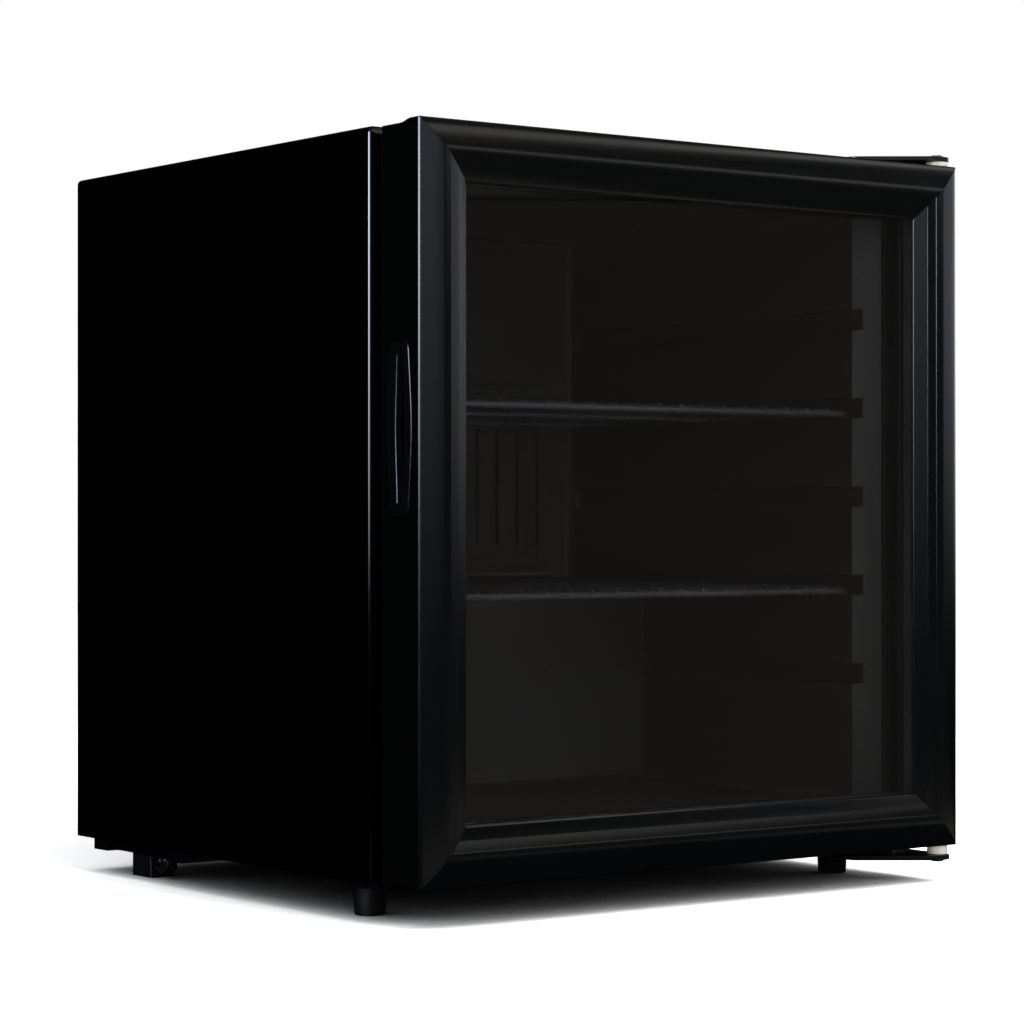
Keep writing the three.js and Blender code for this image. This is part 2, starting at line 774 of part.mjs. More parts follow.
// The moulded cover over the evaporator chamber: raised panel, upright slots and two shallow grooves.
function buildDuct(group) {
  const back = cavityBack - seatGap;
  const front = back - coverThickness;
  const coverLow = humpTop + coverBottomRise;
  const coverHigh = ceiling - coverTopDrop;
  const panelHigh = ceiling - panelTopDrop;
  const panelLow = panelHigh - panelHeight;
  const panelFront = front - panelRise;
  const panelHalf = coverHalf - panelInset;
  const plateOutside = rounded(rectangle(-coverHalf, coverHalf, coverLow, coverHigh, cavityBackRadius));
  const plate = prism('y', plateOutside, front, back);
  const panelOutside = rounded(rectangle(-panelHalf, panelHalf, panelLow, panelHigh, panelRadius));
  const panel = prism('y', panelOutside, panelFront, back);
  const innerHalf = panelHalf - coverThickness;
  const insideOutline = rounded(rectangle(-innerHalf, innerHalf, panelLow + coverThickness,
    panelHigh - coverThickness, panelRadius - coverThickness));
  const panelInside = prism('y', insideOutline, panelFront + coverThickness, back + cutOverrun);
  const cuts = [panelInside];
  const slotLow = humpTop + slotBottomRise;
  const slotHigh = panelLow - slotTopMargin;
  const fieldHalf = coverHalf - slotMargin;
  for (let index = 0; index < slotCount; index += 1) {
    const x = fieldHalf * ((2 * index) / (slotCount - 1) - 1);
    const [left, right] = [x - slotWidth / 2, x + slotWidth / 2];
    cuts.push(block(left, right, front - cutOverrun, back + cutOverrun, slotLow, slotHigh));
  }
  const grooveBack = front + coverGrooveDepth;
  for (let index = 0; index < coverGrooveCount; index += 1) {
    const low = humpTop + coverGrooveBottomRise + coverGroovePitch * index;
    const high = low + coverGrooveHeight;
    cuts.push(block(-fieldHalf, fieldHalf, front - cutOverrun, grooveBack, low, high));
  }
  const outletFront = panelFront + coverThickness;
  for (let index = 0; index < outletCount; index += 1) {
    const x = panelHalf * ((2 * index + 1) / outletCount - 1);
    cuts.push(block(x - outletLength / 2, x + outletLength / 2, outletFront, outletFront + outletWidth,
      panelHigh - coverThickness - weldOverlap, panelHigh + cutOverrun));
  }
  const knobZ = (panelLow + panelHigh) / 2;
  const shaftClear = knobShaftRadius + seatGap + seatGap;
  cuts.push(rod('y', [thermostatX, knobZ], shaftClear, panelFront - cutOverrun, back, smallSides));
  add(group, 'duct_cover', cut(join(plate, panel), cuts), linerPlastic);

  buildEvaporator(group);
  buildFan(group);
  buildThermostat(group, panelFront, knobZ);
}

// The fin and tube evaporator, against the back of its chamber.
function buildEvaporator(group) {
  const back = chamberBack - seatGap;
  const front = back - evaporatorDepth;
  const high = chamberTop - evaporatorTopDrop;
  const low = high - evaporatorHeight;
  const tubeY = (front + back) / 2;
  const evaporatorLeft = -chamberHalf + evaporatorLeftMargin;
  const evaporatorRight = chamberHalf - evaporatorRightMargin;
  const firstZ = (low + high) / 2 - ((evaporatorRuns - 1) * evaporatorPitch) / 2;
  const corners = [[evaporatorLeft, tubeY, firstZ]];
  for (let run = 0; run < evaporatorRuns; run += 1) {
    const turnX = run % 2 === 0 ? evaporatorRight : evaporatorLeft;
    const z = firstZ + run * evaporatorPitch;
    corners.push([turnX, tubeY, z]);
    if (run < evaporatorRuns - 1) corners.push([turnX, tubeY, z + evaporatorPitch]);
  }
  const finLeft = evaporatorLeft + evaporatorPitch;
  const finPitch = (evaporatorRight - evaporatorPitch - finLeft) / (finCount - 1);
  const fins = [];
  for (let index = 0; index < finCount; index += 1) {
    const x = finLeft + index * finPitch;
    fins.push(block(x, x + finThickness, front, back, low, high));
  }
  const tube = pipe(corners, evaporatorTubeRadius, evaporatorPitch / 2);
  add(group, 'evaporator', join(tube, fins), aluminium);
}

// The fan behind the slots: a square frame with arms and a motor, and the impeller that turns on it.
function buildFan(group) {
  const centreZ = chamberBottom + fanMargin + fanSize / 2;
  const back = chamberBack - seatGap;
  const front = back - fanDepth;
  const half = fanSize / 2;
  const centre = [0, centreZ];
  const outline = rounded(rectangle(-half, half, centreZ - half, centreZ + half, half - fanBore));
  const body = prism('y', outline, front, back);
  const motorFront = back - fanHubDepth;
  const armFront = back - fanArmThickness;
  const arms = [
    block(-half, half, armFront, back, centreZ - fanArmWidth / 2, centreZ + fanArmWidth / 2),
    block(-fanArmWidth / 2, fanArmWidth / 2, armFront, back, centreZ - half, centreZ + half),
  ];
  const bore = rod('y', centre, fanBore, front - cutOverrun, back + cutOverrun);
  const motor = rod('y', centre, fanHubRadius, motorFront, back);
  const shaftEnd = motorFront + fanShaftLength + seatGap;
  const shaftHole = rod('y', centre, fanShaftRadius + seatGap, motorFront - cutOverrun, shaftEnd, smallSides);
  const frame = cut(join(cut(body, bore), arms, motor), shaftHole);
  add(group, 'fan_frame', frame, blackPlastic);

  const impellerBack = motorFront - seatGap;
  const impellerDepth = impellerBack - front;
  const bladeRoot = fanHubRadius / 2;
  const blades = [];
  for (let index = 0; index < fanBladeCount; index += 1) {
    const geometry = new THREE.BoxGeometry(fanBladeReach - bladeRoot, fanBladeThickness, fanBladeWidth);
    geometry.rotateX(THREE.MathUtils.degToRad(fanBladePitchDegrees));
    geometry.translate((fanBladeReach + bladeRoot) / 2, -impellerDepth / 2, 0);
    geometry.rotateY((2 * Math.PI * index) / fanBladeCount);
    blades.push(solidOf(geometry));
  }
  const sweep = rod('y', [0, 0], fanBladeReach, -impellerDepth, 0);
  const impeller = join(
    common(join(blades), sweep),
    rod('y', [0, 0], fanHubRadius, -impellerDepth, 0),
    rod('y', [0, 0], fanShaftRadius, -weldOverlap, fanShaftLength, smallSides),
  );
  add(group, 'fan_impeller', impeller, blackPlastic, [0, impellerBack, centreZ]);
}

// The thermostat body in the chamber and its knob on the raised panel.
function buildThermostat(group, panelFront, centreZ) {
  const half = thermostatSize / 2;
  const front = panelFront + coverThickness + seatGap;
  const back = chamberBack - seatGap;
  const shaftHole = rod('y', [thermostatX, centreZ], knobShaftRadius + seatGap, front - cutOverrun,
    front + knobShaftLength, smallSides);
  const body = block(thermostatX - half, thermostatX + half, front, back, centreZ - half, centreZ + half);
  add(group, 'thermostat_body', cut(body, shaftHole), blackPlastic);

  const knobBack = panelFront - seatGap;
  const ridgeHalf = knobRidgeWidth / 2;
  const ridgeFront = -knobDepth - knobRidgeRise;
  const knob = join(
    turned('y', [0, 0], [[0, 0], [knobRadius, 0], [knobGripRadius, -knobDepth], [0, -knobDepth]]),
    block(-ridgeHalf, ridgeHalf, ridgeFront, -weldOverlap, -knobGripRadius, knobGripRadius),
    rod('y', [0, 0], knobShaftRadius, -weldOverlap, knobShaftLength, smallSides),
  );
  add(group, 'thermostat_knob', knob, blackPlastic, [thermostatX, knobBack, centreZ]);
}

// One wire shelf: a bent frame wire, a back wire, a middle support and the wires that run front to back.
function buildShelf(group, name, grooveIndex) {
  const z = grooveBottom(grooveIndex) + seatGap + shelfFrameRadius;
  const overHump = z - shelfFrameRadius > humpTop;
  const back = overHump ? cavityBack - shelfRearSetback : humpFront - shelfHumpGap;
  const side = halfCavity + shelfFrameRadius + seatGap;
  const end = back + shelfWireEnd;
  const corners = [[-side, end, z], [-side, shelfFront, z], [side, shelfFront, z], [side, end, z]];
  const frame = pipe(corners, shelfFrameRadius, shelfCornerRadius);
  const crossEnd = side + shelfCrossEnd;
  const backWire = pipe([[-crossEnd, back, z], [crossEnd, back, z]], shelfFrameRadius, 0);
  const supportZ = z + shelfFrameRadius - shelfSupportRadius;
  const middle = (shelfFront + back) / 2;
  const support = pipe([[-crossEnd, middle, supportZ], [crossEnd, middle, supportZ]], shelfSupportRadius, 0);
  const wireZ = z + shelfFrameRadius + shelfWireRadius - shelfWeld;
  const wires = [];
  for (let index = 1; index <= shelfWireCount; index += 1) {
    const x = halfCavity * ((2 * index) / (shelfWireCount + 1) - 1);
    wires.push(pipe([[x, shelfFront - shelfWireEnd, wireZ], [x, end, wireZ]], shelfWireRadius, 0, wireSides));
  }
  add(group, name, join(frame, backWire, support, wires), wireBlack);
}

// A place behind the door's front edge, as a y.
const atDepth = (depth) => doorFront + depth;

// The section of the frame's members, as [inset, depth] from the outer edge inwards, and its hollow.
function memberSection() {
  const points = [];
  for (let step = 0; step <= bevelSteps; step += 1) {
    const angle = (step * Math.PI) / (2 * bevelSteps);
    points.push([ridgeInset * (1 - Math.cos(angle) ** 2), -ridgeRise * Math.sin(angle)]);
  }
  points.push(
    [ridgeInset + ridgeWidth, -ridgeRise],
    [firstStepInset, firstStepDepth], [firstStepInset, firstStepDepth + stepDrop],
    [secondStepInset, secondStepDepth], [secondStepInset, secondStepDepth + stepDrop],
    [lipInset, lipDepth], [frameFace, lipTipDepth], [frameFace, glassSetback],
    [rebateInset, glassSetback], [rebateInset, frameDepth], [0, frameDepth],
  );
  const hollow = rectangle(hollowInset, hollowInset + hollowWidth, hollowFront, hollowBack);
  return { points, hollow };
}

// The shallow step back behind the door's front edge, as [inset, depth], grown into the door by an offset.
const recessCurve = (offset) =>
  recessShares.map(([insetShare, depthShare]) => [recessDepth * insetShare + offset, frameDepth * depthShare]);

// The space of the step along one edge of the door: place turns [inset, depth] into the outline's two directions.
function recessSpace(axis, place, from, to) {
  const curve = recessCurve(0);
  const [[, firstDepth]] = curve;
  const deep = frameDepth + cutOverrun;
  const outline = [[-cutOverrun, firstDepth], ...curve, [recessDepth, deep], [-cutOverrun, deep]];
  return prism(axis, outline.map(place), from, to);
}

// A ring's outline on the door's side, as (y, z): two bowed limbs between a front and a back end.
function bowedOutline(half, ends, bows, radius) {
  const middle = (doorBottom + doorTop) / 2 + handleRise;
  const [front, back] = ends.map(atDepth);
  const [frontBow, backBow] = bows.map(atDepth);
  return rounded([
    [front, middle - half, radius], [back, middle - half, radius], [backBow, middle, handleBowRadius],
    [back, middle + half, radius], [front, middle + half, radius], [frontBow, middle, handleBowRadius],
  ]);
}

// The outline of the handle ring or of its pocket, grown by an offset.
const handleOutline = (offset) => bowedOutline(handleHeight / 2 + offset,
  [handleFrontEnd - offset, handleBackEnd + offset], [handleFrontBow - offset, handleBackBow + offset],
  handleEndRadius + offset);

// The lens-shaped finger slot of the handle ring.
const fingerOutline = () => bowedOutline(handleHeight / 2 - slotEndMargin,
  [fingerFrontEnd, fingerBackEnd], [fingerFrontBow, fingerBackBow], fingerEndRadius);

// The body between the handle's face and the seat that is let into the stile, seen from above.
function handleWedge(seat) {
  const seatCurve = recessCurve(seat).map(([inset, depth]) => [-halfWidth + inset, atDepth(depth)]);
  const faceFront = [-halfWidth + handleFace, atDepth(0)];
  const faceBack = [-halfWidth + handleFace, atDepth(frameDepth)];
  return prism('z', [faceFront, ...seatCurve, faceBack], doorBottom, doorTop);
}

// A rectangular ring round the door's opening, between two insets from the door's edge and two depths.
function doorRing(outerInset, innerInset, frontDepth, backDepth) {
  const outline = (inset) =>
    rectangle(-halfWidth + inset, halfWidth - inset, doorBottom + inset, doorTop - inset);
  return prism('y', outline(outerInset), atDepth(frontDepth), atDepth(backDepth), [outline(innerInset)]);
}

// The four mitred members of the door frame.
function buildDoorFrame(group) {
  const { points, hollow } = memberSection();
  const left = ([inset, depth]) => [-halfWidth + inset, atDepth(depth)];
  const right = ([inset, depth]) => [halfWidth - inset, atDepth(depth)];
  const low = ([inset, depth]) => [atDepth(depth), doorBottom + inset];
  const high = ([inset, depth]) => [atDepth(depth), doorTop - inset];
  const mitre = (seatGap / 2) * Math.SQRT2;
  const out = cutOverrun;
  const face = frameFace + weldOverlap;
  const front = atDepth(-ridgeRise) - out;
  const back = atDepth(frameDepth) + out;
  const [stileLow, stileHigh] = [doorBottom + mitre, doorTop - mitre];
  const stileEnds = (side) => prism('y', [
    [side * (halfWidth + out), stileLow - out], [side * (halfWidth + out), stileHigh + out],
    [side * (halfWidth - face), stileHigh - face], [side * (halfWidth - face), stileLow + face],
  ], front, back);
  const railEnds = (edge, inward) => prism('y', [
    [-halfWidth + mitre - out, edge - inward * out], [halfWidth - mitre + out, edge - inward * out],
    [halfWidth - mitre - face, edge + inward * face], [-halfWidth + mitre + face, edge + inward * face],
  ], front, back);
  const bushHoles = [
    rod('z', [pinX, pinY], bushRadius + seatGap, doorTop - bushLength - seatGap, doorTop + out),
    rod('z', [pinX, pinY], bushRadius + seatGap, doorBottom - out, doorBottom + bushLength + seatGap),
  ];
  const recesses = [
    ...[left, right].map((map) => recessSpace('z', map, doorBottom - out, doorTop + out)),
    recessSpace('x', high, -halfWidth - out, halfWidth + out),
  ];
  const pocketSpace = join(handleWedge(handleSeat + seatGap), recesses[0]);
  const pocket = join(
    common(prism('x', handleOutline(seatGap), -halfWidth - out, 0), pocketSpace),
    prism('x', fingerOutline(), -halfWidth - out, -halfWidth + fingerPocketDepth),
  );
  const member = (axis, map, from, to, ends) =>
    cut(common(prism(axis, points.map(map), from, to, [hollow.map(map)]), ends), recesses, bushHoles);
  const stile = (map, side) => member('z', map, doorBottom, doorTop, stileEnds(side));
  const rail = (map, edge, inward) => member('x', map, -halfWidth, halfWidth, railEnds(edge, inward));
  add(group, 'door_stile_left', cut(stile(left, -1), pocket), framePlastic);
  add(group, 'door_stile_right', stile(right, 1), framePlastic);
  add(group, 'door_rail_bottom', rail(low, doorBottom, 1), framePlastic);
  add(group, 'door_rail_top', rail(high, doorTop, -1), framePlastic);

  const handle = common(
    prism('x', handleOutline(0), -halfWidth - out, 0, [fingerOutline()]), handleWedge(handleSeat),
  );
  add(group, 'door_handle', handle, framePlastic);
}

// Panes, spacer, glazing bead and gasket.
function buildGlazing(group) {
  const paneInset = frameFace - paneBite;
  const outerFront = glassSetback + seatGap;
  const spacerFront = outerFront + paneThickness + seatGap;
  const innerFront = spacerFront + spacerDepth + seatGap;
  const beadFront = innerFront + paneThickness + seatGap;
  const beadMiddle = beadFront + beadFrontDepth;
  const pane = (depth) => block(-halfWidth + paneInset, halfWidth - paneInset, atDepth(depth),
    atDepth(depth + paneThickness), doorBottom + paneInset, doorTop - paneInset);
  add(group, 'glass_outer_pane', pane(outerFront), glass);
  add(group, 'glass_inner_pane', pane(innerFront), glass);
  const spacerInner = paneInset + spacerWidth;
  const spacer = doorRing(paneInset + seatGap, spacerInner, spacerFront, spacerFront + spacerDepth);
  add(group, 'glass_spacer', spacer, aluminium);
  const beadOuter = rebateInset + seatGap;
  add(group, 'glazing_bead', join(
    doorRing(beadOuter, frameFace, beadFront, beadMiddle),
    doorRing(beadOuter, frameFace - beadStep, beadMiddle - weldOverlap, beadMiddle + beadBackDepth),
  ), framePlastic);

  const outer = gasketInset;
  const inner = gasketInset + gasketWidth;
  const front = frameDepth + seatGap;
  const neckFront = front + gasketBase + gasketFold;
  const lip = neckFront + gasketNeck;
  add(group, 'door_gasket', join(
    doorRing(outer + gasketWaist, inner - gasketWaist, front, front + gasketBase + weldOverlap),
    doorRing(outer, inner, front + gasketBase, neckFront),
    doorRing(outer + gasketWaist, inner - gasketWaist, neckFront - weldOverlap, lip + weldOverlap),
    doorRing(outer, inner, lip, front + gasketDepth),
  ), rubber);
}

// The nylon bushes in the door's corners, which turn on the hinge pins.
function buildBushes(group) {
  const bore = pinRadius + seatGap;
  const topFlange = doorTop + seatGap;
  add(group, 'hinge_bush_top', bored('z', [pinX, pinY], [
    [bushRadius, doorTop - bushLength], [bushRadius, topFlange], [bushTopFlangeRadius, topFlange],
    [bushTopFlangeRadius, doorTop + hingeGapTop - seatGap],
  ], bore), nylon);
  const bottomFlange = doorBottom - seatGap;
  add(group, 'hinge_bush_bottom', bored('z', [pinX, pinY], [
    [bushBottomFlangeRadius, doorBottom - hingeGapBottom + seatGap], [bushBottomFlangeRadius, bottomFlange],
    [bushRadius, bottomFlange], [bushRadius, doorBottom + bushLength],
  ], bore), nylon);
}

// The outline of a hinge plate from above: a round tip over the pin, a slanted edge and a straight root.
const plateOutline = (reach) => rounded([
  [pinX + plateTipRadius, pinY - plateTipRadius, plateTipRadius], [pinX + plateTipRadius, reach],
  [halfWidth - plateWidth, reach], [halfWidth - plateWidth, -plateShoulder, plateShoulderRadius],
  [pinX - plateTipRadius, pinY - plateTipRadius, plateTipRadius],
]);

// The side view of a plate that steps from one level over or under the door to another on the cabinet.
const joggledOutline = (doorLevel, cabinetLevel, thickness, reach) => {
  const front = doorFront - cutOverrun;
  const joggleEnd = joggleStart + joggleLength;
  const back = reach + cutOverrun;
  return [
    [front, doorLevel], [joggleStart, doorLevel], [joggleEnd, cabinetLevel], [back, cabinetLevel],
    [back, cabinetLevel + thickness], [joggleEnd, cabinetLevel + thickness],
    [joggleStart, doorLevel + thickness], [front, doorLevel + thickness],
  ];
};

// The steel hinge plates, their pins and screws.
function buildHinges(group) {
  const topLevel = doorTop + hingeGapTop;
  const bottomLevel = doorBottom - hingeGapBottom - bracketThickness;
  const topSeat = cabinetTop + seatGap;
  const bottomSeat = cabinetBottom - seatGap - bracketThickness;
  const plate = (reach, level, seat, thickness, screws) => {
    const low = Math.min(level, seat) - cutOverrun;
    const high = Math.max(level, seat) + thickness + cutOverrun;
    const hole = (place, radius) => rod('z', place, radius + seatGap, low, high, smallSides);
    const fromAbove = prism('z', plateOutline(reach), low, high);
    const fromSide = prism('x', joggledOutline(level, seat, thickness, reach), 0, cabinetWidth);
    const screwHoles = screws.map((place) => hole(place, screwRadius));
    return cut(common(fromAbove, fromSide), hole([pinX, pinY], pinRadius), screwHoles);
  };
  const topPlate = plate(plateReach, topLevel, topSeat, plateThickness, screwPlacesTop);
  add(group, 'hinge_plate_top', topPlate, blackSteel);
  const bracket = plate(bracketReach, bottomLevel, bottomSeat, bracketThickness, screwPlacesBottom);
  add(group, 'hinge_bracket_bottom', bracket, blackSteel);

  const plateTop = topLevel + plateThickness + seatGap;
  const pinReach = bushLength - seatGap;
  const pinEnd = doorTop - pinReach;
  add(group, 'hinge_pin_top', turned('z', [pinX, pinY], [
    [0, pinEnd], [pinRadius, pinEnd], [pinRadius, plateTop], [pinHeadRadius, plateTop],
    [pinHeadRadius, plateTop + pinHeadHeight], [0, plateTop + pinHeadHeight],
  ], smallSides), zinc);
  const bracketLow = bottomLevel - seatGap;
  add(group, 'hinge_pin_bottom', turned('z', [pinX, pinY], [
    [0, bracketLow - pinHeadHeight], [pinHeadRadius, bracketLow - pinHeadHeight], [pinHeadRadius, bracketLow],
    [pinRadius, bracketLow], [pinRadius, doorBottom + pinReach], [0, doorBottom + pinReach],
  ], smallSides), zinc);

  screwPlacesTop.forEach((place, index) => {
    const seat = topSeat + plateThickness + seatGap;
    const tip = seat - screwLength;
    const headTop = seat + screwHeadHeight;
    add(group, `hinge_screw_top_${index + 1}`, turned('z', place, [
      [0, tip], [screwRadius, tip], [screwRadius, seat], [screwHeadRadius, seat],
      [screwHeadRadius, seat + screwHeadHeight / 2], [screwRadius, headTop], [0, headTop],
    ], smallSides), zinc);
  });
  screwPlacesBottom.forEach((place, index) => {
    const seat = bottomSeat - seatGap;
    const tip = seat + screwLength;
    const headLow = seat - screwHeadHeight;
    add(group, `hinge_screw_bottom_${index + 1}`, turned('z', place, [
      [0, headLow], [screwRadius, headLow], [screwHeadRadius, seat - screwHeadHeight / 2],
      [screwHeadRadius, seat], [screwRadius, seat], [screwRadius, tip], [0, tip],
    ], smallSides), zinc);
  });
}

// The two front levelling feet, each with its stud up in the cabinet.
function buildFrontFeet(group) {
  const top = cabinetBottom - seatGap;
  const collarLow = top - footCollarHeight;
  const studTop = cabinetBottom + studLength;
  ['foot_front_left', 'foot_front_right'].forEach((name, index) => {
    const foot = turned('z', [0, 0], [
      [0, 0], [footPadRadius - footPadRound, 0], [footPadRadius, footPadRound], [footPadTopRadius, collarLow],
      [footCollarRadius, collarLow], [footCollarRadius, top], [studRadius, top], [studRadius, studTop],
      [0, studTop],
    ]);
    add(group, name, foot, blackPlastic, [...footPlaces[index], 0]);
  });
}

// Where the compressor's plate stands on its four grommets.
const mountPlaces = [[-1, -1], [-1, 1], [1, -1], [1, 1]].map(([sideX, sideY]) =>
  [compressorX + (sideX * mountSpanX) / 2, compressorY + (sideY * mountSpanY) / 2]);

// The galvanised base plate with its cross rails, tabs and studs, the rear feet and the rollers.
function buildBase(group) {
  const railTop = webBottom - seatGap;
  const rail = (front) => cut(
    block(-railHalf, railHalf, front, front + railDepth, railTop - railHeight, railTop),
    block(-railHalf + railWall, railHalf - railWall, front + railWall, front + railDepth - railWall,
      railTop - railHeight - cutOverrun, railTop - railWall),
  );
  const rearRailFront = basePlateBack - railDepth;
  add(group, 'base_rail_front', rail(basePlateFront), blackSteel);
  add(group, 'base_rail_rear', rail(rearRailFront), blackSteel);

  const flangeFront = basePlateFront + railDepth + flangeRailGap;
  const flangeBack = rearRailFront - flangeRailGap;
  const flangeLow = webTop - flangeDrop - plateWeb;
  const flangeInner = basePlateHalf - flangeWall;
  const tabInnerLow = flangeInner - rollerGap - rollerWidth - rollerGap - flangeWall;
  const tabInnerHigh = tabInnerLow + flangeWall;
  const tabLow = rollerHeight - tabMargin;
  const tabs = (side) => {
    const between = (near, far) => (side > 0 ? [near, far] : [-far, -near]);
    const tab = (near, far, low) =>
      block(...between(near, far), rollerY - tabWidth / 2, rollerY + tabWidth / 2, low, webTop);
    return join(
      block(...between(flangeInner, basePlateHalf), flangeFront, flangeBack, flangeLow, webTop),
      tab(flangeInner, basePlateHalf, tabLow), tab(tabInnerLow, tabInnerHigh, tabLow),
    );
  };
  const studTop = webTop + mountStudHeight;
  const studs = mountPlaces.map((place) => rod('z', place, mountStudRadius, webBottom, studTop, smallSides));
  mountPlaces.forEach((place, index) => {
    add(group, `compressor_grommet_${index + 1}`, bored('z', place, [
      [grommetRadius, webTop + seatGap], [grommetRadius, webTop + mountPlateRise - seatGap],
    ], mountStudRadius + seatGap, smallSides), rubber);
  });
  const axleHole = rod('x', [rollerY, rollerHeight], axleRadius + seatGap, -halfWidth, halfWidth, smallSides);
  const web = block(-basePlateHalf, basePlateHalf, basePlateFront, basePlateBack, webBottom, webTop);
  const plate = join(web, tabs(-1), tabs(1), studs);
  add(group, 'compressor_base_plate', cut(plate, axleHole), galvanised);

  ['left', 'right'].forEach((word, index) => {
    const side = index === 0 ? -1 : 1;
    const axleMiddle = (basePlateHalf + tabInnerLow) / 2;
    const axleHalf = (basePlateHalf - tabInnerLow) / 2 + axleEnd;
    const rollerMiddle = (flangeInner + tabInnerHigh) / 2;
    add(group, `rear_axle_${word}`, rod('x', [0, 0], axleRadius, -axleHalf, axleHalf, smallSides), zinc,
      [side * axleMiddle, rollerY, rollerHeight]);
    const tread = [[rollerRadius, -rollerWidth / 2], [rollerRadius, rollerWidth / 2]];
    add(group, `rear_roller_${word}`, bored('x', [0, 0], tread, axleRadius + seatGap), blackPlastic,
      [side * rollerMiddle, rollerY, rollerHeight]);
    const footOuter = flangeInner - seatGap;
    const footInner = footOuter - rearFootWidth;
    const footTop = webBottom - seatGap;
    const footFront = basePlateFront + rearFootSetback;
    const footBack = footFront + rearFootLength;
    const footOutline = rounded([
      [footFront - rearFootTaper, 0], [footBack, 0], [footBack, footTop, rearFootRadius],
      [footFront, footTop],
    ]);
    const [from, to] = side > 0 ? [footInner, footOuter] : [-footOuter, -footInner];
    add(group, `rear_foot_${word}`, prism('x', footOutline, from, to), blackPlastic);
  });
}

// The compressor, its starter cover, the tray on top and the tubes that leave it.
function buildCompressor(group) {
  const halfLength = shellLength / 2;
  const depthShare = shellDepth / shellLength;
  const top = shellBottom + shellHeight;
  const points = [[0, 0], ...shellShares, [0, 1]].map(([radiusShare, heightShare]) =>
    new THREE.Vector2(halfLength * radiusShare, shellBottom + shellHeight * heightShare));
  const shellGeometry = new THREE.LatheGeometry(points, roundSides).rotateX(Math.PI / 2);
  shellGeometry.scale(1, depthShare, 1).translate(compressorX, compressorY, 0);
  const plateLow = webTop + mountPlateRise;
  const mountPlate = prism('z', rounded(rectangle(
    compressorX - mountPlateLength / 2, compressorX + mountPlateLength / 2,
    compressorY - mountPlateWidth / 2, compressorY + mountPlateWidth / 2, grommetRadius,
  )), plateLow, plateLow + mountPlateThickness);
  const studHoles = mountPlaces.map((place) => rod('z', place, mountStudRadius + seatGap, 0, top, smallSides));
  add(group, 'compressor', join(solidOf(shellGeometry), cut(mountPlate, studHoles)), blackSteel);

  const shellFlange = halfLength * Math.max(...shellShares.map(([radiusShare]) => radiusShare));
  const starterX = compressorX + shellFlange + seatGap;
  add(group, 'starter_cover', block(starterX, starterX + starterLength, compressorY - starterDepth / 2,
    compressorY + starterDepth / 2, starterBottom, starterBottom + starterHeight), blackPlastic);

  const trayLow = top + seatGap;
  const trayOutline = (inset) => rounded(rectangle(
    compressorX - trayLength / 2 + inset, compressorX + trayLength / 2 - inset,
    compressorY - trayDepth / 2 + inset, compressorY + trayDepth / 2 - inset, cavityCornerRadius - inset,
  ));
  add(group, 'drip_tray', cut(
    prism('z', trayOutline(0), trayLow, trayLow + trayHeight),
    prism('z', trayOutline(trayWall), trayLow + trayWall, trayLow + trayHeight + cutOverrun),
  ), blackPlastic);

  const shellSide = compressorX - halfLength - seatGap;
  const underStep = stepTop - sheetThickness - seatGap;
  const suctionX = shellSide - suctionReach;
  add(group, 'suction_tube', pipe([
    [shellSide, compressorY, suctionHeight], [suctionX, compressorY, suctionHeight],
    [suctionX, compressorY, underStep],
  ], suctionRadius, tubeBend), copper);

  const innerY = cabinetDepth - innerPipeSetback;
  const inletZ = stepTop - condenserInletDrop;
  const dischargeX = shellSide - dischargeReach;
  const inletX = dischargeX - condenserInletReach;
  add(group, 'discharge_tube', pipe([
    [shellSide, compressorY, dischargeHeight], [dischargeX, compressorY, dischargeHeight],
    [dischargeX, innerY, dischargeHeight], [inletX, innerY, dischargeHeight],
    [inletX, innerY, inletZ - seatGap],
  ], dischargeRadius, dischargeBend), copper);
  buildCondenser(group, [inletX, innerY, inletZ], underStep);
}

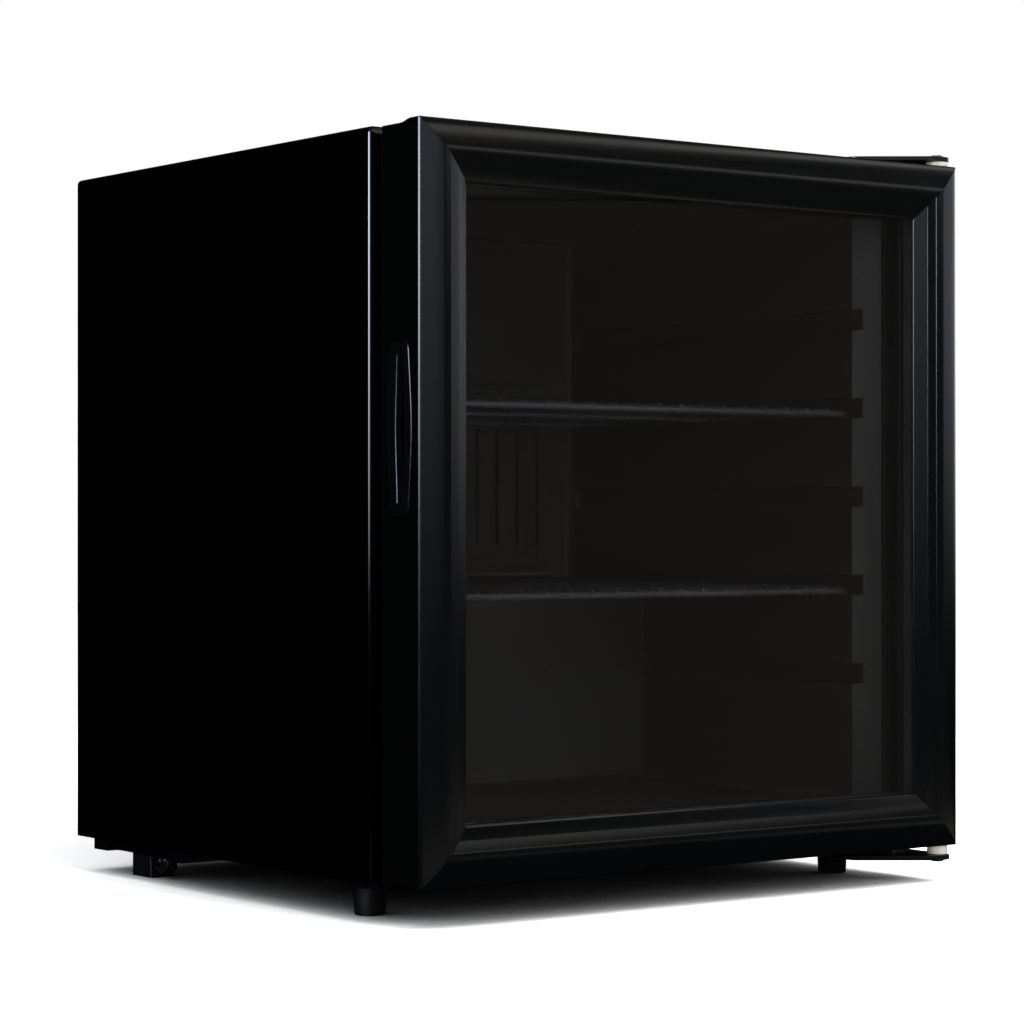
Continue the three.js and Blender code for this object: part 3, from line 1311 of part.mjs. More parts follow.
// The condenser: one bent tube on two straps with upright wires, then the filter drier and the
// capillary tube.
function buildCondenser(group, inlet, underStep) {
  const [inletX, innerY, inletZ] = inlet;
  const tubeY = cabinetDepth + condenserStandoff;
  const firstZ = stepTop + condenserBottomRise;
  const outletZ = stepTop - condenserOutletDrop;
  const corners = [
    inlet, [inletX, innerY, inletZ + tubeBend], [inletX, tubeY, inletZ + tubeBend], [inletX, tubeY, firstZ],
  ];
  for (let run = 0; run < condenserRuns; run += 1) {
    const z = firstZ + run * condenserPitch;
    const turnX = run % 2 === 0 ? halfWidth - condenserRightMargin : -halfWidth + condenserLeftMargin;
    corners.push([turnX, tubeY, z]);
    if (run < condenserRuns - 1) corners.push([turnX, tubeY, z + condenserPitch]);
  }
  const topZ = firstZ + (condenserRuns - 1) * condenserPitch;
  corners.pop();
  const downX = -halfWidth + condenserDownMargin;
  const drierTop = outletZ - tubeBend;
  corners.push([downX, tubeY, topZ], [downX, tubeY, outletZ]);
  corners.push([downX, innerY, outletZ], [downX, innerY, drierTop]);
  const tube = pipe(corners, condenserRadius, tubeBend / 2);

  const strapFront = tubeY - condenserRadius - strapThickness + weldOverlap;
  const strapLow = firstZ - strapMargin;
  const strapHigh = topZ + strapMargin;
  const footFront = rearPanelBack + seatGap;
  const straps = [-1, 1].flatMap((side) => {
    const strapX = side * (halfWidth - strapInset);
    const [from, to] = [strapX - strapWidth / 2, strapX + strapWidth / 2];
    return [
      block(from, to, strapFront, strapFront + strapThickness, strapLow, strapHigh),
      block(from, to, footFront, strapFront + strapThickness, strapLow, strapLow + strapWidth),
      block(from, to, footFront, strapFront + strapThickness, strapHigh - strapWidth, strapHigh),
    ];
  });
  const wireFront = tubeY + condenserRadius - weldOverlap;
  const wires = [];
  for (let index = 0; index < wireCount; index += 1) {
    const x = (halfWidth - wireMargin) * ((2 * index) / (wireCount - 1) - 1);
    wires.push(block(x - wireThickness / 2, x + wireThickness / 2, wireFront, wireFront + wireThickness,
      firstZ - wireEndMargin, topZ + wireEndMargin));
  }
  add(group, 'condenser', join(tube, straps, wires), blackSteel);

  const drierHigh = drierTop - seatGap;
  const drierLow = drierHigh - drierLength;
  const drier = turned('z', [0, 0], [
    [0, 0], [drierNeck, 0], [drierNeck, drierNeckLength], [drierRadius, drierShoulder],
    [drierRadius, drierLength - drierShoulder], [drierNeck, drierLength - drierNeckLength],
    [drierNeck, drierLength], [0, drierLength],
  ], smallSides);
  add(group, 'filter_drier', drier, copper, [downX, innerY, drierLow]);
  const capillaryX = downX + capillaryReach;
  add(group, 'capillary_tube', pipe([
    [downX, innerY, drierLow - seatGap], [downX, innerY, drierLow - capillaryDrop],
    [capillaryX, innerY, drierLow - capillaryDrop], [capillaryX, innerY, underStep],
  ], capillaryRadius, capillaryBend, wireSides), copper);
}

// The bushing in the rear panel through which a mains lead would pass.
function buildGland(group) {
  const flangeFront = rearPanelBack + seatGap;
  add(group, 'cord_gland', bored('y', [glandX, glandZ], [
    [glandRadius, flangeFront - glandLength], [glandRadius, flangeFront], [glandFlangeRadius, flangeFront],
    [glandFlangeRadius, flangeFront + glandFlangeHeight],
  ], glandBore), rubber);
}

const fridge = new THREE.Group();
const cabinet = new THREE.Group();
const door = new THREE.Group();
fridge.add(cabinet, door);

buildCabinet(cabinet);
buildDuct(cabinet);
Object.entries(shelfGrooves).forEach(([name, groove]) => buildShelf(cabinet, name, groove));
buildHinges(cabinet);
buildFrontFeet(cabinet);
buildBase(cabinet);
buildCompressor(cabinet);
buildGland(cabinet);

buildDoorFrame(door);
buildGlazing(door);
buildBushes(door);

// The door turns about its pins, so its group stands there.
door.position.set(pinX, pinY, 0);
door.children.forEach((mesh) => mesh.position.sub(door.position));

// The origin goes under the middle of the whole fridge.
const box = new THREE.Box3().setFromObject(fridge);
const middle = box.getCenter(new THREE.Vector3());
fridge.position.set(-middle.x, -middle.y, -box.min.z);

export default fridge;
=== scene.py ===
"""Dresses a countertop display fridge: black steel cabinet, framed glass door, wire shelves and rear gear.

Sizes are in millimetres and heights are above the floor. X runs to the right of a person facing the door, and
Y from the door to the back. Each piece stands where the construction's own node stands, so its place is taken
from that node's box, and only sizes that the box doesn't give are written here.
"""

import logging
import math
from dataclasses import dataclass
from enum import Enum
from typing import Callable, Optional

import bmesh
import bpy
from mathutils import Matrix, Vector


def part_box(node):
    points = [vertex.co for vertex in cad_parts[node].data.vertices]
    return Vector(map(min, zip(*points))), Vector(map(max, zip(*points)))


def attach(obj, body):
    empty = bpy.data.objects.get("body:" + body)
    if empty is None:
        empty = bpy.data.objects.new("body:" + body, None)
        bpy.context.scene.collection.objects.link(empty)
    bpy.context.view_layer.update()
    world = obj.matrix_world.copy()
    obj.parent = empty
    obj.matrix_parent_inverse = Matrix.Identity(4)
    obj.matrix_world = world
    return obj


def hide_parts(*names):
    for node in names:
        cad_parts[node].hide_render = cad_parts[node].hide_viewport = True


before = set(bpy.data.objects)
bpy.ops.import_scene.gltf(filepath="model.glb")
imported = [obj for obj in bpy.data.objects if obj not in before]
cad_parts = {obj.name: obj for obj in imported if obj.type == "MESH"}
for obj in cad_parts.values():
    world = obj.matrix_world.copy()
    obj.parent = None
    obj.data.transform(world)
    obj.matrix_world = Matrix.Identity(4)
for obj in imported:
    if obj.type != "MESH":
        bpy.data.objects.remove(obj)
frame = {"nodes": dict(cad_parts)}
log = logging.getLogger("display_fridge")

MM = 0.001
FINE_ARC_STEPS = 8
MIDDLE_ARC_STEPS = 4
SMALL_ARC_STEPS = 3
TINY_ARC_STEPS = 2
QUARTER_TURNS = [math.pi / 2 * step / FINE_ARC_STEPS for step in range(FINE_ARC_STEPS + 1)]
ROUND_SIDES = 48
WIRE_SIDES = 10
EDGE_SEGMENTS = 2
SHARP_DEGREES = 32.0
MEMBER_SHARP_DEGREES = 24.0
FLAT_DEGREES = 1.0
CLOSE_MM = 0.01
CUT_OVERRUN = 1.0
GRAIN_DETAIL = 3.0
SMEAR_DETAIL = 2.0

Flat = tuple[float, float]


class Axis(Enum):
    """The direction that an outline is drawn out along, then the outline's own two directions."""

    X = (0, 1, 2)
    Y = (1, 0, 2)
    Z = (2, 0, 1)


class Pattern(Enum):
    """How a surface was made: its mark, that mark's stretch along X, Y and Z, and whether it has cells."""

    MOULDED = ("spark-eroded grain", (1.0, 1.0, 1.0), False)
    SPRAYED = ("orange peel", (1.0, 1.0, 1.0), False)
    EXTRUDED_UPRIGHT = ("die lines down", (1.0, 1.0, 0.03), False)
    EXTRUDED_LEVEL = ("die lines across", (0.03, 1.0, 1.0), False)
    DRAWN = ("drawing marks", (0.2, 0.2, 0.2), False)
    SPANGLED = ("zinc crystals", (1.0, 1.0, 1.0), True)
    FOAMED = ("closed cells", (1.0, 1.0, 1.0), True)

    @property
    def stretch(self) -> tuple[float, float, float]:
        """The mark's stretch along X, Y and Z."""
        return self.value[1]

    @property
    def celled(self) -> bool:
        """Whether the mark is made of cells."""
        return self.value[2]


def linear(colour: str) -> tuple[float, float, float, float]:
    """Turns an sRGB hex colour into linear values, by the curve of the sRGB standard.

    Args:
        colour: six hex digits after a hash.

    Returns:
        Red, green, blue and an alpha of one.
    """
    values = []
    for start in (1, 3, 5):
        share = int(colour[start:start + 2], 16) / 255
        values.append(share / 12.92 if share <= 0.04045 else ((share + 0.055) / 1.055) ** 2.4)
    return values[0], values[1], values[2], 1.0


def add_node(
    tree: bpy.types.NodeTree,
    kind: str,
    settings: Optional[dict] = None,
    links: Optional[dict] = None,
) -> bpy.types.Node:
    """Adds a node with its settings and the links into it.

    Args:
        tree: the tree that takes the node.
        kind: the node's Blender name.
        settings: values by the name of a socket, or of a property of the node.
        links: output sockets by the name of the input they go to.

    Returns:
        The new node.
    """
    node = tree.nodes.new(kind)
    for name, value in (settings or {}).items():
        if hasattr(node, name):
            setattr(node, name, value)
        else:
            node.inputs[name].default_value = value
    for name, source in (links or {}).items():
        tree.links.new(source, node.inputs[name])
    return node


@dataclass(frozen=True)
class Finish:
    """An opaque surface: what it is made of, how it was made, and what that gives the eye."""

    name: str
    slot: str
    colour: str
    roughness: float
    pattern: Pattern
    grain_mm: float
    relief_mm: float
    metallic: float = 0.0
    specular: float = 0.5
    coat: float = 0.0
    mottle: float = 0.12
    roughness_spread: float = 0.06

    def build(self) -> bpy.types.Material:
        """Makes the material, or finds it if it is made already.

        Returns:
            The material.
        """
        made = bpy.data.materials.get(self.name)
        if made:
            return made
        material = bpy.data.materials.new(self.name)
        material.use_nodes = True
        tree = material.node_tree
        shader = tree.nodes["Principled BSDF"]
        shader.inputs["Metallic"].default_value = self.metallic
        if not self.metallic:
            shader.inputs["Specular IOR Level"].default_value = self.specular
        shader.inputs["Coat Weight"].default_value = self.coat
        place = add_node(tree, "ShaderNodeTexCoord").outputs["Object"]
        stretched = add_node(
            tree, "ShaderNodeMapping", {"Scale": self.pattern.stretch}, {"Vector": place}
        ).outputs["Vector"]
        grain = self._grain(tree, stretched)
        dark, light = self._shades()
        colours = add_node(tree, "ShaderNodeMix", {"data_type": "RGBA"}, {"Factor": grain})
        for socket in colours.inputs:
            if socket.type == "RGBA" and socket.name in ("A", "B"):
                socket.default_value = dark if socket.name == "A" else light
        tree.links.new(next(s for s in colours.outputs if s.type == "RGBA"), shader.inputs["Base Color"])
        rough = add_node(tree, "ShaderNodeMapRange", {
            "To Min": self.roughness - self.roughness_spread,
            "To Max": self.roughness + self.roughness_spread,
        }, {"Value": grain})
        tree.links.new(rough.outputs["Result"], shader.inputs["Roughness"])
        bump = add_node(tree, "ShaderNodeBump", {
            "Strength": 1.0, "Distance": self.relief_mm * MM,
        }, {"Height": grain})
        tree.links.new(bump.outputs["Normal"], shader.inputs["Normal"])
        return material

    def _grain(self, tree: bpy.types.NodeTree, place: bpy.types.NodeSocket) -> bpy.types.NodeSocket:
        """Adds the texture that carries the pattern.

        Args:
            tree: the material's tree.
            place: the stretched coordinates.

        Returns:
            The texture's value, from zero to one.
        """
        scale = 1 / (self.grain_mm * MM)
        if self.pattern.celled:
            cells = add_node(tree, "ShaderNodeTexVoronoi", {"Scale": scale}, {"Vector": place})
            return add_node(
                tree, "ShaderNodeSeparateColor", {}, {"Color": cells.outputs["Color"]}
            ).outputs["Red"]
        return add_node(
            tree, "ShaderNodeTexNoise", {"Scale": scale, "Detail": GRAIN_DETAIL}, {"Vector": place}
        ).outputs["Fac"]

    def _shades(self) -> tuple[tuple[float, ...], tuple[float, ...]]:
        """The darkest and the lightest shade of the mottle, linear."""
        base = linear(self.colour)[:3]
        dark = tuple(value * (1 - self.mottle) for value in base) + (1.0,)
        light = tuple(value * (1 + self.mottle) for value in base) + (1.0,)
        return dark, light


@dataclass(frozen=True)
class Glass:
    """Float glass: clear, with a faint tint and polished edges."""

    name: str = "Float glass, polished edges"
    slot: str = "glass"
    colour: str = "#f8f8f7"
    roughness: float = 0.02
    ior: float = 1.5
    specular: float = 0.12
    smear_mm: float = 60.0

    def build(self) -> bpy.types.Material:
        """Makes the glass, whose faint uneven gloss comes from wiping.

        Returns:
            The material.
        """
        made = bpy.data.materials.get(self.name)
        if made:
            return made
        material = bpy.data.materials.new(self.name)
        material.use_nodes = True
        tree = material.node_tree
        shader = tree.nodes["Principled BSDF"]
        shader.inputs["Base Color"].default_value = linear(self.colour)
        shader.inputs["Transmission Weight"].default_value = 1.0
        shader.inputs["IOR"].default_value = self.ior
        shader.inputs["Specular IOR Level"].default_value = self.specular
        place = add_node(tree, "ShaderNodeTexCoord").outputs["Object"]
        smear = add_node(tree, "ShaderNodeTexNoise", {
            "Scale": 1 / (self.smear_mm * MM), "Detail": SMEAR_DETAIL,
        }, {"Vector": place})
        rough = add_node(tree, "ShaderNodeMapRange", {
            "To Min": 0.0, "To Max": self.roughness,
        }, {"Value": smear.outputs["Fac"]})
        tree.links.new(rough.outputs["Result"], shader.inputs["Roughness"])
        return material


# Sprayed and baked polyester powder on sheet steel: deep glossy black, with a faint orange peel.
POWDER_COAT = Finish(
    "Powder-coated sheet steel", "black_steel", "#020203", 0.1, Pattern.SPRAYED, 1.6, 0.002, specular=0.45,
    roughness_spread=0.02,
)
# A satin coat on pressed pieces: blue-black, and it catches light on their edges.
COATED_PRESSING = Finish(
    "Powder-coated pressed steel", "black_steel", "#0b0d12", 0.3, Pattern.SPRAYED, 1.2, 0.004,
    specular=0.35,
)
# Black epoxy on drawn steel wire: smooth and fairly glossy, so each wire shows a light line.
EPOXY_WIRE = Finish(
    "Epoxy-coated steel wire", "shelf_wire", "#222327", 0.26, Pattern.SPRAYED, 0.9, 0.006, specular=0.45,
)
# Vacuum-formed high-impact polystyrene: near black, with a soft sheen and a faint grain.
LINER_SHEET = Finish(
    "Vacuum-formed polystyrene", "liner_plastic", "#141313", 0.3, Pattern.MOULDED, 0.7, 0.003, specular=0.5,
)
# Extruded rigid PVC, upright and level members: a slight blue cast and die lines along the length.
FRAME_UPRIGHT = Finish(
    "Extruded PVC, upright", "frame_plastic", "#060708", 0.2, Pattern.EXTRUDED_UPRIGHT, 1.5, 0.004,
    specular=0.45,
)
FRAME_LEVEL = Finish(
    "Extruded PVC, level", "frame_plastic", "#060708", 0.2, Pattern.EXTRUDED_LEVEL, 1.5, 0.004, specular=0.45,
)
# Injection-moulded ABS of the handle: a fine grain, and a little less gloss than the members round it.
HANDLE_ABS = Finish(
    "Moulded ABS", "frame_plastic", "#0a0c11", 0.24, Pattern.MOULDED, 1.0, 0.006, specular=0.45,
)
# Glass-filled polypropylene of feet, rollers and fan: matt, with a spark-eroded grain.
BLACK_POLYPROPYLENE = Finish(
    "Moulded polypropylene", "black_plastic", "#101014", 0.5, Pattern.MOULDED, 0.6, 0.02, specular=0.3,
)
# Extruded EPDM of the gasket: matt and slightly dusty.
SOFT_RUBBER = Finish(
    "Extruded EPDM rubber", "rubber", "#101011", 0.7, Pattern.MOULDED, 0.8, 0.02, specular=0.2,
)
# Hot-dip galvanised sheet: blue-grey, with zinc crystals of about 7 mm that differ in shine.
GALVANISED = Finish(
    "Galvanised sheet steel", "galvanised_steel", "#6b7482", 0.4, Pattern.SPANGLED, 7.0, 0.004,
    metallic=1.0, mottle=0.18, roughness_spread=0.1,
)
# Bright zinc plate on screws, pins and axles.
ZINC_PLATE = Finish(
    "Zinc-plated steel", "zinc_plated_steel", "#c3c6cc", 0.28, Pattern.DRAWN, 0.6, 0.004,
    metallic=1.0, mottle=0.06,
)
# Natural nylon of the hinge bushes: cream, waxy, slightly see-through, so it has no hard highlight.
NATURAL_NYLON = Finish(
    "Natural nylon", "nylon", "#d8d2c2", 0.38, Pattern.MOULDED, 0.8, 0.01, specular=0.45, mottle=0.05,
)
# Drawn copper tube, lightly tarnished by brazing.
COPPER_TUBE = Finish(
    "Drawn copper tube", "copper", "#b9714a", 0.32, Pattern.DRAWN, 2.0, 0.006,
    metallic=1.0, mottle=0.2, roughness_spread=0.1,
)
# Rolled aluminium of evaporator fins.
ROLLED_ALUMINIUM = Finish(
    "Rolled aluminium", "aluminium", "#a7abb0", 0.35, Pattern.DRAWN, 0.8, 0.004, metallic=1.0, mottle=0.08,
)
# Black anodised aluminium of the spacer between the panes, which looks grey-brown through the glass.
BLACK_ANODISED = Finish(
    "Black anodised aluminium", "aluminium", "#1a1918", 0.45, Pattern.DRAWN, 0.8, 0.004,
    metallic=0.6, mottle=0.08,
)
# Foamed-in-place polyurethane: pale yellow, with cells drawn at 2 mm, coarser than the real 0.3 mm.
RIGID_FOAM = Finish(
    "Rigid polyurethane foam", "foam", "#d9c98f", 0.9, Pattern.FOAMED, 2.0, 0.2, specular=0.1, mottle=0.1,
)
CLEAR_GLASS = Glass()


@dataclass(frozen=True)
class Span:
    """The lowest and highest corners of one or more nodes, in millimetres."""

    low: Vector
    high: Vector

    @classmethod
    def of(cls, *nodes: str) -> "Span":
        """Measures nodes of the construction.

        Args:
            nodes: their names.

        Returns:
            The box round them all.
        """
        boxes = [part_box(node) for node in nodes]
        low = Vector(min(box[0][axis] for box in boxes) for axis in range(3))
        high = Vector(max(box[1][axis] for box in boxes) for axis in range(3))
        return cls(low / MM, high / MM)

    @property
    def centre(self) -> Vector:
        """The middle of the box."""
        return (self.low + self.high) / 2

    @property
    def size(self) -> Vector:
        """The box's width, depth and height."""
        return self.high - self.low


def rounded(corners: list[tuple[float, ...]], steps: int = FINE_ARC_STEPS) -> list[Flat]:
    """Rounds the corners of a closed outline.

    Args:
        corners: each (a, b) or (a, b, radius).
        steps: straight pieces in each round corner.

    Returns:
        The outline's points.
    """
    points: list[Flat] = []
    count = len(corners)
    for index, corner in enumerate(corners):
        here = Vector(corner[:2])
        radius = corner[2] if len(corner) > 2 else 0.0
        if radius <= 0:
            points.append((here.x, here.y))
            continue
        before = (Vector(corners[index - 1][:2]) - here).normalized()
        after = (Vector(corners[(index + 1) % count][:2]) - here).normalized()
        half = before.angle(after) / 2
        centre = here + (before + after).normalized() * (radius / math.sin(half))
        start = here + before * (radius / math.tan(half)) - centre
        end = here + after * (radius / math.tan(half)) - centre
        turn = math.atan2(start.x * end.y - start.y * end.x, start.dot(end))
        for step in range(steps + 1):
            spot = Matrix.Rotation(turn * step / steps, 2) @ start + centre
            points.append((spot.x, spot.y))
    return points


def rectangle(a_low: float, a_high: float, b_low: float, b_high: float, radius: float = 0.0) -> list[tuple]:
    """Corners of a rectangle, each with the same radius.

    Args:
        a_low: lowest place in the first direction.
        a_high: highest place in the first direction.
        b_low: lowest place in the second direction.
        b_high: highest place in the second direction.
        radius: the corners' radius.

    Returns:
        Four corners for rounded().
    """
    return [
        (a_low, b_low, radius), (a_high, b_low, radius), (a_high, b_high, radius), (a_low, b_high, radius),
    ]


def vectors(*places: tuple[float, float, float]) -> list[Vector]:
    """Turns places into vectors.

    Args:
        places: each (x, y, z).

    Returns:
        A route for Shape.tube() or bent().
    """
    return [Vector(place) for place in places]


def circle_turns(sides: int) -> list[float]:
    """The angles of the corners of a circle with so many sides.

    Args:
        sides: how many sides the circle has.

    Returns:
        Angles in radians.
    """
    return [2 * math.pi * side / sides for side in range(sides)]


def facing(profile: list[Flat], way: int) -> list[Flat]:
    """Stands a turned profile upright or upside down.

    Args:
        profile: (radius, place along the axis).
        way: 1 for upright, -1 for upside down.

    Returns:
        The profile for Shape.turned().
    """
    return [(radius, way * place) for radius, place in profile]


def bent(corners: list[Vector], radius: float, steps: int = FINE_ARC_STEPS) -> list[Vector]:
    """Bends a route at its corners, as a wire or tube is bent.

    Args:
        corners: the route's ends and corners.
        radius: the radius of each bend.
        steps: straight pieces in each bend.

    Returns:
        The route's points.
    """
    points = [corners[0]]
    for index in range(1, len(corners) - 1):
        here = corners[index]
        before = (corners[index - 1] - here).normalized()
        after = (corners[index + 1] - here).normalized()
        half = before.angle(after) / 2
        centre = here + (before + after).normalized() * (radius / math.sin(half))
        start = here + before * (radius / math.tan(half)) - centre
        axis = after.cross(before).normalized()
        turn = math.pi - 2 * half
        for step in range(steps + 1):
            spot = Matrix.Rotation(turn * step / steps, 3, axis) @ start + centre
            if (spot - points[-1]).length > CLOSE_MM:
                points.append(spot)
    points.append(corners[-1])
    return points


class Shape:
    """Gathers the faces of one piece, in millimetres, and makes an object that rides on its body."""

    def __init__(self, name: str) -> None:
        """Starts an empty piece."""
        self.name = name
        self.mesh = bmesh.new()

    def loft(self, rings: list[list[Vector]], closed: bool = False, capped: bool = True) -> "Shape":
        """Joins rings of equal count with faces.

        Args:
            rings: the rings, in order.
            closed: whether the last ring is joined to the first.
            capped: whether the first and last rings are filled.

        Returns:
            The shape itself.
        """
        rows = [[self.mesh.verts.new(spot) for spot in ring] for ring in rings]
        pairs = list(zip(rows, rows[1:] + rows[:1])) if closed else list(zip(rows, rows[1:]))
        for row, following in pairs:
            for index in range(len(row)):
                after = (index + 1) % len(row)
                self.mesh.faces.new((row[index], row[after], following[after], following[index]))
        if capped and not closed:
            self.mesh.faces.new(list(reversed(rows[0])))
            self.mesh.faces.new(rows[-1])
        return self

    def prism(self, axis: Axis, outline: list[Flat], low: float, high: float) -> "Shape":
        """Draws an outline out along an axis.

        Args:
            axis: the direction of the prism.
            outline: points in the other two directions.
            low: where it starts along the axis.
            high: where it ends along the axis.

        Returns:
            The shape itself.
        """
        along, first, second = axis.value
        rings = []
        for place in (low, high):
            ring = []
            for a, b in outline:
                spot = Vector((0.0, 0.0, 0.0))
                spot[along], spot[first], spot[second] = place, a, b
                ring.append(spot)
            rings.append(ring)
        return self.loft(rings)

    def turned(
        self, axis: Axis, centre: Vector, profile: list[Flat], sides: int = ROUND_SIDES, closed: bool = False,
    ) -> "Shape":
        """Turns a profile round an axis.

        Args:
            axis: the direction of the axis.
            centre: a place on the axis.
            profile: (radius, place along the axis) from the centre.
            sides: how many sides the turned body has.
            closed: whether the profile is a loop, as a ring's is.

        Returns:
            The shape itself.
        """
        along, first, second = axis.value
        rings = []
        for radius, place in profile:
            ring = []
            for angle in circle_turns(sides):
                spot = centre.copy()
                spot[along] += place
                spot[first] += max(radius, CLOSE_MM / 4) * math.cos(angle)
                spot[second] += max(radius, CLOSE_MM / 4) * math.sin(angle)
                ring.append(spot)
            rings.append(ring)
        return self.loft(rings, closed=closed)

    def tube(
        self, route: list[Vector], radius: float, sides: int = WIRE_SIDES, bevel: float = 0.3,
    ) -> "Shape":
        """Draws a round bar along a route, with its ends slightly rounded.

        Args:
            route: points along the middle of the bar.
            radius: the bar's radius.
            sides: how many sides it has.
            bevel: how far each end is rounded.

        Returns:
            The shape itself.
        """
        ways = []
        for index in range(len(route)):
            before = route[index] - route[index - 1] if index else route[1] - route[0]
            after = route[index + 1] - route[index] if index < len(route) - 1 else before
            ways.append((before.normalized() + after.normalized()).normalized())
        side_way = ways[0].orthogonal().normalized()
        rings = []
        for index, (spot, way) in enumerate(zip(route, ways)):
            side_way = (side_way - way * side_way.dot(way)).normalized()
            other = way.cross(side_way)

            def circle(middle: Vector, reach: float) -> list[Vector]:
                """A ring of the bar round a place on its route."""
                return [
                    middle + side_way * (reach * math.cos(turn)) + other * (reach * math.sin(turn))
                    for turn in circle_turns(sides)
                ]

            if index == 0:
                rings.append(circle(spot, radius - bevel))
                rings.append(circle(spot + way * bevel, radius))
            elif index == len(route) - 1:
                rings.append(circle(spot - way * bevel, radius))
                rings.append(circle(spot, radius - bevel))
            else:
                rings.append(circle(spot, radius))
        return self.loft(rings)

    def ring(self, low: Flat, high: Flat, section: list[Flat]) -> "Shape":
        """Runs a section round a rectangle that faces front, with mitred corners.

        Args:
            low: the rectangle's lowest x and z.
            high: its highest x and z.
            section: a closed loop of (inset from the rectangle, y).

        Returns:
            The shape itself.
        """
        corners = (
            (low[0], low[1], 1, 1), (high[0], low[1], -1, 1),
            (high[0], high[1], -1, -1), (low[0], high[1], 1, -1),
        )
        rings = [
            [Vector((x + way_x * inset, y, z + way_z * inset)) for inset, y in section]
            for x, z, way_x, way_z in corners
        ]
        return self.loft(rings, closed=True)

    def of_node(self, node: str) -> "Shape":
        """Takes over a node's own shape, welded and with its flat faces made whole.

        Args:
            node: the node's name.

        Returns:
            The shape itself.
        """
        self.mesh.from_mesh(frame["nodes"][node].data)
        bmesh.ops.scale(self.mesh, vec=(1 / MM,) * 3, verts=self.mesh.verts)
        bmesh.ops.remove_doubles(self.mesh, verts=self.mesh.verts, dist=CLOSE_MM)
        bmesh.ops.dissolve_limit(
            self.mesh, angle_limit=math.radians(FLAT_DEGREES), verts=self.mesh.verts, edges=self.mesh.edges,
        )
        return self

    def cut_by(self, tool: "Shape", operation: str = "DIFFERENCE") -> "Shape":
        """Cuts the shape with another, which is used up.

        Args:
            tool: the cutting shape.
            operation: what Blender's Boolean modifier does with it.

        Returns:
            The shape itself.
        """
        body, cutter = self._plain_object(), tool._plain_object()
        modifier = body.modifiers.new("cut", "BOOLEAN")
        modifier.operation, modifier.solver, modifier.object = operation, "EXACT", cutter
        bpy.context.view_layer.update()
        result = bpy.data.meshes.new_from_object(body.evaluated_get(bpy.context.evaluated_depsgraph_get()))
        self.mesh = bmesh.new()
        self.mesh.from_mesh(result)
        for used in (body, cutter):
            bpy.data.objects.remove(used)
        bpy.data.meshes.remove(result)
        return self

    def _plain_object(self) -> bpy.types.Object:
        """Makes a bare object of the shape, still in millimetres."""
        bmesh.ops.remove_doubles(self.mesh, verts=self.mesh.verts, dist=CLOSE_MM)
        bmesh.ops.recalc_face_normals(self.mesh, faces=self.mesh.faces)
        data = bpy.data.meshes.new(self.name)
        self.mesh.to_mesh(data)
        self.mesh.free()
        made = bpy.data.objects.new(self.name, data)
        bpy.context.collection.objects.link(made)
        return made

    def dress(
        self,
        finish: Finish | Glass,
        body: str,
        nodes: tuple[str, ...],
        bevel: float = 0.0,
        sharp_degrees: float = SHARP_DEGREES,
    ) -> bpy.types.Object:
        """Turns the shape into the finished piece.

        Args:
            finish: its finish.
            body: the body that it rides on.
            nodes: the construction's nodes that it stands for.
            bevel: how far its sharp edges are broken.
            sharp_degrees: the angle over which an edge is sharp.

        Returns:
            The piece.
        """
        made = self._plain_object()
        made.data.transform(Matrix.Scale(MM, 4))
        made.data.materials.clear()
        made.data.materials.append(finish.build())
        made.data.polygons.foreach_set("use_smooth", [True] * len(made.data.polygons))
        made.data.set_sharp_from_angle(angle=math.radians(sharp_degrees))
        if bevel:
            edge = made.modifiers.new("broken edges", "BEVEL")
            edge.width, edge.segments = bevel * MM, EDGE_SEGMENTS
            edge.limit_method, edge.angle_limit = "ANGLE", math.radians(sharp_degrees)
            edge.harden_normals = True
            edge.use_clamp_overlap = True
        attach(made, body)
        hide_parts(*nodes)
        log.info("%s: %d faces, %s", self.name, len(made.data.polygons), finish.name)
        return made


# How far edges are broken on nodes that keep their own shape. Copper tubes and the drier stay as drawn.
BROKEN_EDGES = {
    "rear_panel": 0.2, "base_pan": 0.2, "duct_cover": 0.8, "evaporator": 0.1, "fan_frame": 0.5,
    "fan_impeller": 0.3, "thermostat_body": 0.8, "thermostat_knob": 0.8, "glass_spacer": 0.3,
    "rear_axle_left": 0.3, "rear_axle_right": 0.3, "rear_foot_left": 0.8, "rear_foot_right": 0.8,
    "base_rail_front": 0.4, "base_rail_rear": 0.4, "compressor_base_plate": 0.4, "starter_cover": 2.5,
    "cord_gland": 0.5,
}


def soften(node: str, finish: Finish, body: str = "cabinet") -> None:
    """Gives a node's own shape broken edges and a finish.

    Args:
        node: the node, whose shape is right as it is.
        finish: its finish.
        body: the body that it rides on.
    """
    bevel = BROKEN_EDGES.get(node, 0.0)
    Shape(f"{node}_finished").of_node(node).dress(finish, body, (node,), bevel)


def coat(node: str, finish: Finish) -> None:
    """Puts a finish on a node that stays as it is.

    Args:
        node: the node.
        finish: its finish.
    """
    data = frame["nodes"][node].data
    data.materials.clear()
    data.materials.append(finish.build())
    log.info("%s: kept, %s", node, finish.name)


